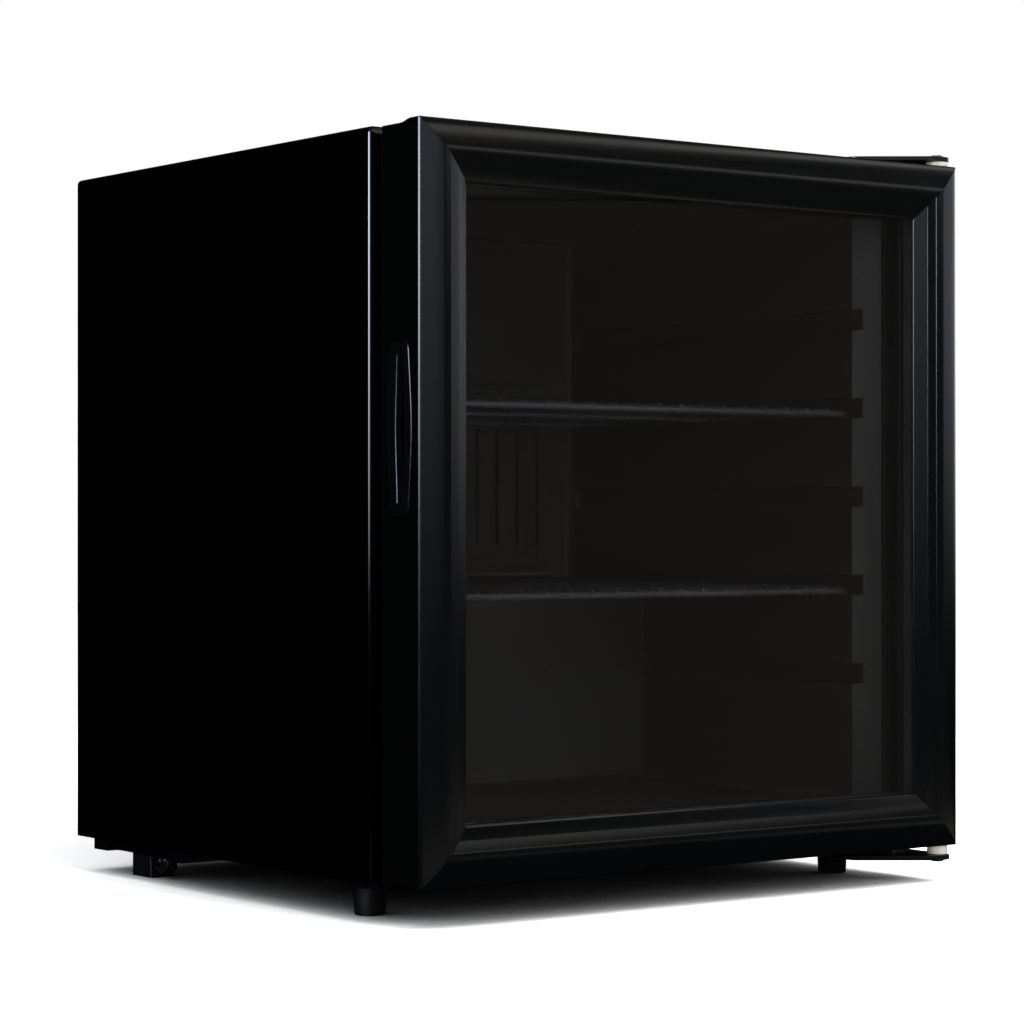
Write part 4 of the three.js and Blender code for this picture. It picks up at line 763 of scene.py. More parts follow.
@dataclass
class Cabinet:
    """The folded steel wrap, its back and base, the foam and the liner."""

    top_radius: float = 4.0
    fold_radius: float = 2.2
    sheet: float = 0.8
    sheet_edge: float = 0.15
    front_flange: float = 24.0
    rear_flange: float = 12.0
    cavity_half: float = 200.0
    cavity_floor: float = 57.0
    cavity_ceiling: float = 495.0
    cavity_radius: float = 8.0
    mouth_depth: float = 15.5
    web: float = 1.5
    liner_edge: float = 0.5

    def build(self) -> None:
        """Builds the cabinet's pieces in order."""
        self._wrap()
        soften("rear_panel", POWDER_COAT)
        soften("base_pan", POWDER_COAT)
        coat("insulation_foam", RIGID_FOAM)
        self._liner()

    def _liner(self) -> None:
        """Builds the liner, with webs where its mouth's square corners meet the cavity's round ones."""
        shape = Shape("inner_liner_finished").of_node("inner_liner")
        front = Span.of("cabinet_wrap").low.y + self.mouth_depth
        radius, reach = self.cavity_radius, self.cavity_radius + self.web / 2
        for side in (-1, 1):
            for way, level in ((-1, self.cavity_floor), (1, self.cavity_ceiling)):
                x, z = side * (self.cavity_half - radius), level - way * radius
                arc = [
                    (x + side * reach * math.cos(turn), z + way * reach * math.sin(turn))
                    for turn in QUARTER_TURNS
                ]
                shape.prism(Axis.Y, [*arc, (x + side * reach, z + way * reach)], front, front + self.web)
        shape.dress(LINER_SHEET, "cabinet", ("inner_liner",), self.liner_edge)

    def _section(self, front: float, back: float) -> list[Flat]:
        """The sheet's section, folded in at the front and the back.

        Args:
            front: the front face's y.
            back: the back face's y.

        Returns:
            A closed loop of (inset from the outer side, y).
        """
        fold = self.fold_radius

        def path(depth: float) -> list[Flat]:
            """One face of the sheet, a depth below the outer one."""
            reach = fold - depth
            at_front = [
                (fold - reach * math.sin(turn), front + fold - reach * math.cos(turn))
                for turn in QUARTER_TURNS
            ]
            at_back = [
                (fold - reach * math.cos(turn), back - fold + reach * math.sin(turn))
                for turn in QUARTER_TURNS
            ]
            return [(self.front_flange, front + depth), *at_front, *at_back, (self.rear_flange, back - depth)]

        return path(0.0) + list(reversed(path(self.sheet)))

    def _wrap(self) -> None:
        """Builds the wrap: one sheet folded over the sides and the top."""
        span = Span.of("cabinet_wrap")
        half, top = span.size.x / 2, span.high.z
        section = self._section(span.low.y, span.high.y)

        def place(side: int, angle: float, inset: float) -> Flat:
            """Where the sheet stands at a top corner, for a turn round that corner."""
            reach = max(self.top_radius - inset, 0.0)
            corner = max(self.top_radius, inset)
            return side * (half - corner + reach * math.cos(angle)), top - corner + reach * math.sin(angle)

        rings = [[Vector((-half + inset, y, span.low.z)) for inset, y in section]]
        for side, angles in ((-1, QUARTER_TURNS), (1, list(reversed(QUARTER_TURNS)))):
            for angle in angles:
                ring = []
                for inset, y in section:
                    x, z = place(side, angle, inset)
                    ring.append(Vector((x, y, z)))
                rings.append(ring)
        rings.append([Vector((half - inset, y, span.low.z)) for inset, y in section])
        Shape("cabinet_wrap_sheet").loft(rings).dress(
            POWDER_COAT, "cabinet", ("cabinet_wrap",), self.sheet_edge,
        )


@dataclass
class ColdGear:
    """The duct cover and what stands behind it, each piece with its finish and its body."""

    pieces: tuple[tuple[str, Finish, str], ...] = (
        ("duct_cover", LINER_SHEET, "cabinet"),
        ("evaporator", ROLLED_ALUMINIUM, "cabinet"),
        ("fan_frame", BLACK_POLYPROPYLENE, "cabinet"),
        ("fan_impeller", BLACK_POLYPROPYLENE, "fan"),
        ("thermostat_body", BLACK_POLYPROPYLENE, "cabinet"),
        ("thermostat_knob", BLACK_POLYPROPYLENE, "thermostat_dial"),
    )

    def build(self) -> None:
        """Builds the pieces on the back wall."""
        for node, finish, body in self.pieces:
            soften(node, finish, body)


@dataclass
class WireShelf:
    """A welded shelf of round wire: a frame wire, two cross wires and the wires that run front to back."""

    node: str
    body: str
    frame_radius: float = 2.5
    corner_radius: float = 9.0
    wire_radius: float = 1.3
    wire_end: float = 0.5
    support_radius: float = 2.0
    wire_count: int = 19
    weld_sink: float = 1.0
    wire_overhang: float = 1.6
    frame_inset: float = 2.8

    def build(self) -> None:
        """Builds the shelf."""
        span = Span.of(self.node)
        z = span.low.z + self.frame_radius
        side = span.size.x / 2 - self.frame_radius
        front, end = span.low.y + self.frame_radius, span.high.y
        back = end - self.wire_overhang
        shape = Shape(f"{self.node}_wires")
        corners = vectors((-side, end, z), (-side, front, z), (side, front, z), (side, end, z))
        shape.tube(bent(corners, self.corner_radius), self.frame_radius)
        shape.tube(vectors((-side, back, z), (side, back, z)), self.frame_radius)
        middle = (front + back) / 2
        low = z + self.frame_radius - self.support_radius
        shape.tube(vectors((-side, middle, low), (side, middle, low)), self.support_radius)
        wire_z = z + self.frame_radius + self.wire_radius - self.weld_sink
        inner = side - self.frame_inset
        for index in range(1, self.wire_count + 1):
            x = inner * (2 * index / (self.wire_count + 1) - 1)
            wire = vectors((x, front - self.wire_overhang, wire_z), (x, end, wire_z))
            shape.tube(wire, self.wire_radius, bevel=self.wire_end)
        shape.dress(EPOXY_WIRE, self.body, (self.node,))


@dataclass
class DoorFrame:
    """The four mitred members of the door, with a ridge round the front and a shallow step behind its edge.

    The step runs down both sides and along the top. Each of its points is (inset, depth behind the front
    edge).
    """

    depth: float = 44.0
    ridge_rise: float = 6.0
    ridge_inset: float = 17.0
    ridge_width: float = 4.0
    bevel_steps: int = 14
    first_step: Flat = (24.0, -5.2)
    second_step: Flat = (30.7, -3.0)
    step_drop: float = 0.6
    lip: Flat = (38.0, 0.6)
    lip_tip: Flat = (40.0, 2.3)
    glass_setback: float = 3.0
    rebate: float = 32.0
    step_curve: tuple[Flat, ...] = (
        (0.23, 0.0), (0.29, 9.24), (0.63, 12.32), (1.09, 14.96), (1.64, 18.04), (1.95, 20.68), (2.04, 23.76),
        (2.1, 44.0),
    )
    mitre_gap: float = 0.2
    edge_radius: float = 0.3
    lip_radius: float = 0.6
    rear_radius: float = 0.8

    def __post_init__(self) -> None:
        """Takes the door's outer box from its members."""
        span = Span.of("door_stile_left", "door_stile_right", "door_rail_top", "door_rail_bottom")
        self.low, self.high = span.low, span.high
        self.front = span.low.y + self.ridge_rise

    def step(self, depth: float) -> float:
        """How far the step cuts in from the outer side at a depth behind the front edge."""
        if depth < 0:
            return 0.0
        for (inset, start), (following, end) in zip(self.step_curve, self.step_curve[1:]):
            if depth <= end:
                return inset + (following - inset) * (depth - start) / (end - start)
        return self.step_curve[-1][0]

    def _face(self) -> list[Flat]:
        """The section's front, from the outer edge to the glass.

        Returns:
            Points as (inset, depth).
        """
        points = []
        for step in range(self.bevel_steps + 1):
            angle = math.pi / 2 * step / self.bevel_steps
            points.append((self.ridge_inset * math.sin(angle) ** 2, -self.ridge_rise * math.sin(angle)))
        inner: list[tuple[float, ...]] = [(self.ridge_inset + self.ridge_width, -self.ridge_rise)]
        for inset, depth in (self.first_step, self.second_step):
            inner += [(inset, depth, self.edge_radius), (inset, depth + self.step_drop)]
        inner += [
            self.lip, (*self.lip_tip, self.lip_radius), (self.lip_tip[0], self.glass_setback),
            (self.rebate, self.glass_setback),
        ]
        outline = rounded([points[-1], *inner], SMALL_ARC_STEPS)
        return points + outline[1:]

    def _side(self, stepped: bool) -> list[Flat]:
        """The section's outer side, from the back to the front.

        Args:
            stepped: whether the step runs along this member.

        Returns:
            Points as (inset, depth).
        """
        points: list[tuple[float, ...]] = [
            (inset if stepped else 0.0, depth) for inset, depth in reversed(self.step_curve)
        ]
        points[0] = (*points[0], self.rear_radius)
        return rounded([(self.rebate, self.depth), *points], MIDDLE_ARC_STEPS)[1:]

    def _member(self, name: str, stepped: bool, place: Callable[[float, float, int], Vector]) -> Shape:
        """Builds one member between its two mitres.

        Args:
            name: the member's node.
            stepped: whether the step runs along its length.
            place: turns (inset, depth, end) into a point, with end -1 or 1.

        Returns:
            The member, not yet finished.
        """
        section = self._face() + [(self.rebate, self.depth)] + self._side(stepped)
        rings = [[place(inset, depth, end) for inset, depth in section] for end in (-1, 1)]
        return Shape(f"{name}_extrusion").loft(rings)

    def build(self) -> None:
        """Builds the four members and cuts the finger pocket in the left one."""
        low, high, front, gap = self.low, self.high, self.front, self.mitre_gap

        def stile(side: int) -> Callable[[float, float, int], Vector]:
            """Places a point of the left (-1) or right (1) stile."""
            def place(inset: float, depth: float, end: int) -> Vector:
                """Stands a point of the section at the stile's lower (-1) or upper (1) end."""
                x = (low.x if side < 0 else high.x) - side * inset
                z = low.z + inset + gap if end < 0 else high.z - max(inset, self.step(depth)) - gap
                return Vector((x, front + depth, z))
            return place

        def rail(side: int) -> Callable[[float, float, int], Vector]:
            """Places a point of the bottom (-1) or top (1) rail."""
            def place(inset: float, depth: float, end: int) -> Vector:
                """Stands a point of the section at the rail's left (-1) or right (1) end."""
                away = max(inset, self.step(depth))
                x = low.x + away + gap if end < 0 else high.x - away - gap
                z = (low.z if side < 0 else high.z) - side * inset
                return Vector((x, front + depth, z))
            return place

        members = (
            ("door_stile_left", True, stile(-1), FRAME_UPRIGHT),
            ("door_stile_right", True, stile(1), FRAME_UPRIGHT),
            ("door_rail_bottom", False, rail(-1), FRAME_LEVEL),
            ("door_rail_top", True, rail(1), FRAME_LEVEL),
        )
        for name, stepped, place, finish in members:
            member = self._member(name, stepped, place)
            if name == "door_stile_left":
                member.cut_by(Handle(self).pocket())
            member.dress(finish, "door", (name,), sharp_degrees=MEMBER_SHARP_DEGREES)


@dataclass
class Handle:
    """The long moulded ring round a finger pocket in the side of the left stile.

    Pairs hold a value of the ring's outer outline and one of its inner outline.
    """

    frame: DoorFrame
    slot_end: float = 8.0
    front_ends: Flat = (10.9, 18.5)
    back_ends: Flat = (32.0, 23.0)
    front_bows: Flat = (6.2, 15.2)
    back_bows: Flat = (36.1, 25.3)
    end_radii: Flat = (6.0, 2.0)
    bow_radius: float = 260.0
    face: float = 0.05
    seat: float = 2.4
    pocket_depth: float = 13.0
    edge_radius: float = 0.9
    sharp_degrees: float = 40.0

    def _outline(self, which: int) -> list[Flat]:
        """The ring's outer (0) or inner (1) outline.

        Args:
            which: the outline asked for.

        Returns:
            Points as (y, z).
        """
        span = Span.of("door_handle")
        middle = span.centre.z
        half = span.size.z / 2 - (self.slot_end if which else 0.0)
        front, back = self.front_ends[which], self.back_ends[which]
        radius = self.end_radii[which]
        outline = rounded([
            (front, middle - half, radius), (back, middle - half, radius),
            (self.back_bows[which], middle, self.bow_radius), (back, middle + half, radius),
            (front, middle + half, radius), (self.front_bows[which], middle, self.bow_radius),
        ])
        return [(self.frame.front + depth, z) for depth, z in outline]

    def pocket(self) -> Shape:
        """The space of the finger pocket and of the ring's seat, which the stile leaves free.

        Returns:
            A stepped solid that cuts the stile.
        """
        left = self.frame.low.x
        seat = left + self.seat + self.frame.step_curve[-1][0]
        shape = Shape("finger_pocket").prism(Axis.X, self._outline(0), left - CUT_OVERRUN, seat)
        deep = Shape("deep_pocket").prism(
            Axis.X, self._outline(1), left - CUT_OVERRUN, left + self.pocket_depth,
        )
        return shape.cut_by(deep, "UNION")

    def build(self) -> None:
        """Builds the ring between its face, which is flat, and its seat, which follows the stile's step."""
        left, front = self.frame.low.x, self.frame.front
        rings = []
        for which, seated in ((0, False), (1, False), (1, True), (0, True)):
            rings.append([
                Vector((left + (self.frame.step(y - front) + self.seat if seated else self.face), y, z))
                for y, z in self._outline(which)
            ])
        Shape("door_handle_ring").loft(rings, closed=True).dress(
            HANDLE_ABS, "door", ("door_handle",), self.edge_radius, self.sharp_degrees,
        )


@dataclass
class Glazing:
    """The two panes, the spacer between them, the bead that holds them and the gasket behind the frame.

    The bellows' points are (inset from the gasket's side, depth behind its front, radius).
    """

    frame: DoorFrame
    pane_edge: float = 0.6
    bead_outer: float = 32.3
    bead_inner: float = 40.0
    bead_step: float = 1.5
    bead_front: float = 20.2
    bead_middle: float = 26.0
    bead_back: float = 37.5
    bead_radii: tuple[float, float, float, float] = (1.2, 0.6, 0.4, 2.0)
    gasket_outer: float = 14.3
    gasket_width: float = 9.7
    magnet_radius: float = 0.8
    bellows: tuple[tuple[float, float, float], ...] = (
        (1.6, 0.0, 0.0), (1.6, 2.4, 0.4), (0.0, 3.6, 0.5), (0.0, 5.0, 0.5), (1.6, 6.2, 0.4), (1.6, 7.0, 0.4),
        (0.0, 7.6, 0.6),
    )

    def build(self) -> None:
        """Builds the glass and what holds it."""
        low, high = self.frame.low, self.frame.high
        corners = (low.x, low.z), (high.x, high.z)
        for pane in ("glass_outer_pane", "glass_inner_pane"):
            span = Span.of(pane)
            sides = rectangle(span.low.x, span.high.x, span.low.z, span.high.z, self.pane_edge)
            made = Shape(f"{pane}_sheet").prism(
                Axis.Y, rounded(sides, TINY_ARC_STEPS), span.low.y, span.high.y,
            )
            sheet = made.dress(CLEAR_GLASS, "door", (pane,), self.pane_edge)
            sheet.visible_shadow = False
        soften("glass_spacer", BLACK_ANODISED, "door")
        inner, outer = self.bead_inner, self.bead_outer
        front, middle, back = (
            self.frame.front + depth for depth in (self.bead_front, self.bead_middle, self.bead_back)
        )
        lip, edge, root, heel = self.bead_radii
        bead = rounded([
            (outer, front), (inner, front, lip), (inner, middle, edge),
            (inner - self.bead_step, middle, root), (inner - self.bead_step, back, heel), (outer, back),
        ], MIDDLE_ARC_STEPS)
        Shape("glazing_bead_strip").ring(*corners, bead).dress(FRAME_UPRIGHT, "door", ("glazing_bead",))
        self._gasket(*corners)

    def _gasket(self, low: Flat, high: Flat) -> None:
        """Builds the magnetic gasket: a foot in the frame, a folded bellows and a flat magnet bulb.

        Args:
            low: the door's lowest x and z.
            high: its highest x and z.
        """
        span = Span.of("door_gasket")
        back, front = span.high.y, span.low.y
        outer, inner = self.gasket_outer, self.gasket_outer + self.gasket_width
        section = rounded([
            *((inner - inset, front + depth, radius) for inset, depth, radius in self.bellows),
            (inner, back, self.magnet_radius), (outer, back, self.magnet_radius),
            *((outer + inset, front + depth, radius) for inset, depth, radius in reversed(self.bellows)),
        ], SMALL_ARC_STEPS)
        Shape("door_gasket_bellows").ring(low, high, section).dress(SOFT_RUBBER, "door", ("door_gasket",))


@dataclass
class Hinges:
    """The pressed hinge plates, their pins and screws, and the nylon bushes in the door.

    The points of a pin's head are (inset from its rim, depth under its top).
    """

    tip_radius: float = 8.9
    tip_share: float = 0.9
    corner_radius: float = 2.0
    top_sheet: float = 3.0
    bottom_sheet: float = 3.5
    shoulder: float = 18.0
    shoulder_radius: float = 8.0
    joggle_start: float = 3.0
    joggle_length: float = 6.0
    plate_edge: float = 0.25
    sleeve_radius: float = 5.0
    top_flange: float = 3.4
    bottom_flange: float = 6.4
    bore_gap: float = 0.3
    bush_radii: tuple[float, float, float] = (0.5, 0.6, 0.3)
    pin_radius: float = 3.0
    pin_chamfer: float = 0.8
    pin_head: tuple[Flat, ...] = ((0.0, 1.5), (0.0, 0.8), (0.5, 0.25), (1.6, 0.0))
    screw_radius: float = 2.0
    screw_sides: int = 32
    screw_tip_radius: float = 0.6
    screw_tip_length: float = 2.0
    screw_head_height: float = 2.0
    screw_rim: float = 0.5
    screw_dome: float = 0.6
    cross_width: float = 1.0
    cross_length: float = 4.2
    cross_depth: float = 1.2

    def build(self) -> None:
        """Builds the hinges' pieces."""
        self._plate("hinge_plate_top", self.top_sheet)
        self._plate("hinge_bracket_bottom", self.bottom_sheet)
        self._bush("hinge_bush_top", 1, self.top_flange)
        self._bush("hinge_bush_bottom", -1, self.bottom_flange)
        self._pin("hinge_pin_top", 1)
        self._pin("hinge_pin_bottom", -1)
        for way, word in ((1, "top"), (-1, "bottom")):
            for number in (1, 2):
                self._screw(f"hinge_screw_{word}_{number}", way)

    def _plate(self, node: str, thickness: float) -> None:
        """Builds a plate that steps from the door's level to the cabinet's.

        Args:
            node: the plate's node.
            thickness: its sheet.
        """
        span, pin = Span.of(node), Span.of("hinge_pin_top").centre
        cabinet = Span.of("cabinet_wrap")
        left, back, radius = span.low.x, span.high.y, self.corner_radius
        reach, front = pin.x + self.tip_radius, pin.y - self.tip_radius
        outline = rounded([
            (reach, front, self.tip_radius), (reach, back, radius), (left, back, radius),
            (left, cabinet.low.y - self.shoulder, self.shoulder_radius),
            (pin.x - self.tip_radius, front, self.tip_radius * self.tip_share),
        ])
        overhangs = node == "hinge_plate_top"
        door_level = span.high.z - thickness if overhangs else span.low.z
        seat = span.low.z if overhangs else span.high.z - thickness
        start = cabinet.low.y + self.joggle_start
        end = start + self.joggle_length
        side = rounded([
            (front - CUT_OVERRUN, door_level), (start, door_level, radius), (end, seat, radius),
            (back + CUT_OVERRUN, seat), (back + CUT_OVERRUN, seat + thickness),
            (end, seat + thickness, radius), (start, door_level + thickness, radius),
            (front - CUT_OVERRUN, door_level + thickness),
        ], MIDDLE_ARC_STEPS)
        plate = Shape(f"{node}_pressing").prism(
            Axis.Z, outline, span.low.z - CUT_OVERRUN, span.high.z + CUT_OVERRUN,
        )
        bend = Shape("side").prism(Axis.X, side, left - CUT_OVERRUN, reach + CUT_OVERRUN)
        plate.cut_by(bend, "INTERSECT").dress(COATED_PRESSING, "cabinet", (node,), self.plate_edge)

    def _bush(self, node: str, way: int, thick: float) -> None:
        """Builds a flanged bush.

        Args:
            node: the bush's node.
            way: 1 where the flange is above, -1 where it is below.
            thick: the flange's thickness.
        """
        span = Span.of(node)
        flange, half = span.size.x / 2, span.size.z / 2
        bore = self.pin_radius + self.bore_gap
        foot, rim, mouth = self.bush_radii
        profile = rounded([
            (bore, -half), (self.sleeve_radius, -half, foot), (self.sleeve_radius, half - thick),
            (flange, half - thick, rim), (flange, half, rim), (bore, half, mouth),
        ], SMALL_ARC_STEPS)
        shape = Shape(f"{node}_moulding").turned(Axis.Z, span.centre, facing(profile, way), closed=True)
        shape.dress(NATURAL_NYLON, "door", (node,))

    def _pin(self, node: str, way: int) -> None:
        """Builds a pin with a domed head.

        Args:
            node: the pin's node.
            way: 1 where its head is above, -1 where it is below.
        """
        span = Span.of(node)
        half, head, radius, chamfer = span.size.z / 2, span.size.x / 2, self.pin_radius, self.pin_chamfer
        profile = [
            (0.0, -half), (radius - chamfer, -half), (radius, -half + chamfer),
            (radius, half - self.pin_head[0][1]),
            *((head - inset, half - depth) for inset, depth in self.pin_head), (0.0, half),
        ]
        shape = Shape(f"{node}_rivet").turned(Axis.Z, span.centre, facing(profile, way))
        shape.dress(ZINC_PLATE, "cabinet", (node,))

    def _screw(self, node: str, way: int) -> None:
        """Builds a pan-head screw with a cross recess.

        Args:
            node: the screw's node.
            way: 1 where its head is above, -1 where it is below.
        """
        span = Span.of(node)
        half, head = span.size.z / 2, span.size.x / 2
        seat = half - self.screw_head_height
        rim = seat + self.screw_rim
        profile = [
            (0.0, -half), (self.screw_tip_radius, -half), (self.screw_radius, -half + self.screw_tip_length),
            (self.screw_radius, seat), (head, seat),
        ]
        for turn in QUARTER_TURNS:
            profile.append((head * math.cos(turn) ** self.screw_dome, rim + (half - rim) * math.sin(turn)))
        shape = Shape(f"{node}_pan_head").turned(Axis.Z, span.centre, facing(profile, way), self.screw_sides)
        top = span.centre.z + way * half
        levels = sorted((top - way * self.cross_depth, top + way * CUT_OVERRUN))
        for width, depth in ((self.cross_length, self.cross_width), (self.cross_width, self.cross_length)):
            shape.cut_by(Shape("slot").prism(Axis.Z, rounded(rectangle(
                span.centre.x - width / 2, span.centre.x + width / 2,
                span.centre.y - depth / 2, span.centre.y + depth / 2,
            )), *levels))
        shape.dress(ZINC_PLATE, "cabinet", (node,))


@dataclass
class Undercarriage:
    """The levelling feet, the galvanised base plate with its rails, and the rear feet and rollers.

    A pad's points are (inset from its radius, height), a collar's (reach over its radius, height from its
    top), and a hub's (radius, depth in its side, corner radius).
    """

    pad_radius: float = 10.5
    pad_top_radius: float = 11.5
    pad_lap: float = 0.4
    pad_profile: tuple[Flat, ...] = ((3.0, 0.6), (2.4, 0.0), (1.2, 0.0), (0.3, 0.4), (0.0, 1.5))
    collar_height: float = 7.6
    collar_profile: tuple[Flat, ...] = ((-3.0, -7.6), (-2.2, -6.8), (0.0, -2.4), (0.0, -0.6), (-0.6, 0.0))
    collar_flutes: int = 16
    flute_sides: int = 6
    flute_depth: float = 0.7
    flute_power: int = 3
    stud_radius: float = 4.0
    stud_sink: float = 0.5
    stud_chamfer: float = 0.8
    foot_height: float = 25.7
    roller_bore: float = 2.3
    tread_radius: float = 1.0
    hub_profile: tuple[tuple[float, float, float], ...] = (
        (4.2, 0.0, 0.3), (5.0, 1.4, 0.4), (7.2, 1.4, 0.4), (7.8, 0.0, 0.3),
    )
    grommet_bore: float = 3.3
    grommet_waist: float = 1.6
    grommet_groove: float = 0.4
    grommet_radii: Flat = (1.0, 0.8)

    def build(self) -> None:
        """Builds everything the fridge stands on."""
        for side in ("left", "right"):
            self._front_foot(f"foot_front_{side}", f"foot_{side}")
            self._roller(f"rear_roller_{side}", f"roller_{side}")
            soften(f"rear_axle_{side}", ZINC_PLATE)
            soften(f"rear_foot_{side}", BLACK_POLYPROPYLENE)
        for rail in ("base_rail_front", "base_rail_rear"):
            soften(rail, COATED_PRESSING)
        soften("compressor_base_plate", GALVANISED)
        for number in range(1, 5):
            self._grommet(f"compressor_grommet_{number}")

    def _front_foot(self, node: str, body: str) -> None:
        """Builds a levelling foot: a pad, a fluted collar to turn it by, and its stud.

        Args:
            node: the foot's node.
            body: the body it is.
        """
        span = Span.of(node)
        base = Vector((span.centre.x, span.centre.y, 0.0))
        top, stud, chamfer = self.foot_height, self.stud_radius, self.stud_chamfer
        pad_top = top - self.collar_height + self.pad_lap
        shape = Shape(f"{node}_moulding").turned(Axis.Z, base, [
            (0.0, self.pad_profile[0][1]), *((self.pad_radius - inset, z) for inset, z in self.pad_profile),
            (self.pad_top_radius, pad_top), (0.0, pad_top),
        ])
        rings = []
        for reach, rise in self.collar_profile:
            ring = []
            for angle in circle_turns(self.collar_flutes * self.flute_sides):
                wave = (1 - math.cos(angle * self.collar_flutes)) / 2
                radius = span.size.x / 2 + reach - self.flute_depth * wave ** self.flute_power
                ring.append(base + Vector((radius * math.cos(angle), radius * math.sin(angle), top + rise)))
            rings.append(ring)
        shape.loft(rings)
        shape.turned(Axis.Z, base, [
            (0.0, top - self.stud_sink), (stud, top - self.stud_sink), (stud, span.high.z - chamfer),
            (stud - chamfer, span.high.z), (0.0, span.high.z),
        ])
        shape.dress(BLACK_POLYPROPYLENE, body, (node,))

    def _roller(self, node: str, body: str) -> None:
        """Builds a roller with a rounded tread and a dished hub on each side.

        Args:
            node: the roller's node.
            body: the body it is.
        """
        span = Span.of(node)
        half, reach = span.size.x / 2, span.size.z / 2
        profile = rounded([
            (self.roller_bore, -half),
            *((radius, -half + depth, edge) for radius, depth, edge in self.hub_profile),
            (reach, -half, self.tread_radius), (reach, half, self.tread_radius),
            *((radius, half - depth, edge) for radius, depth, edge in reversed(self.hub_profile)),
            (self.roller_bore, half),
        ], SMALL_ARC_STEPS)
        shape = Shape(f"{node}_wheel").turned(Axis.X, span.centre, profile, closed=True)
        shape.dress(BLACK_POLYPROPYLENE, body, (node,))

    def _grommet(self, node: str) -> None:
        """Builds a waisted rubber grommet.

        Args:
            node: the grommet's node.
        """
        span = Span.of(node)
        half, reach = span.size.z / 2, span.size.x / 2
        groove, (rim, waist) = half * self.grommet_groove, self.grommet_radii
        profile = rounded([
            (self.grommet_bore, -half), (reach, -half, rim), (reach, -groove, waist),
            (reach - self.grommet_waist, 0.0, waist), (reach, groove, waist), (reach, half, rim),
            (self.grommet_bore, half),
        ], SMALL_ARC_STEPS)
        shape = Shape(f"{node}_mount").turned(Axis.Z, span.centre, profile, closed=True)
        shape.dress(SOFT_RUBBER, "cabinet", (node,))


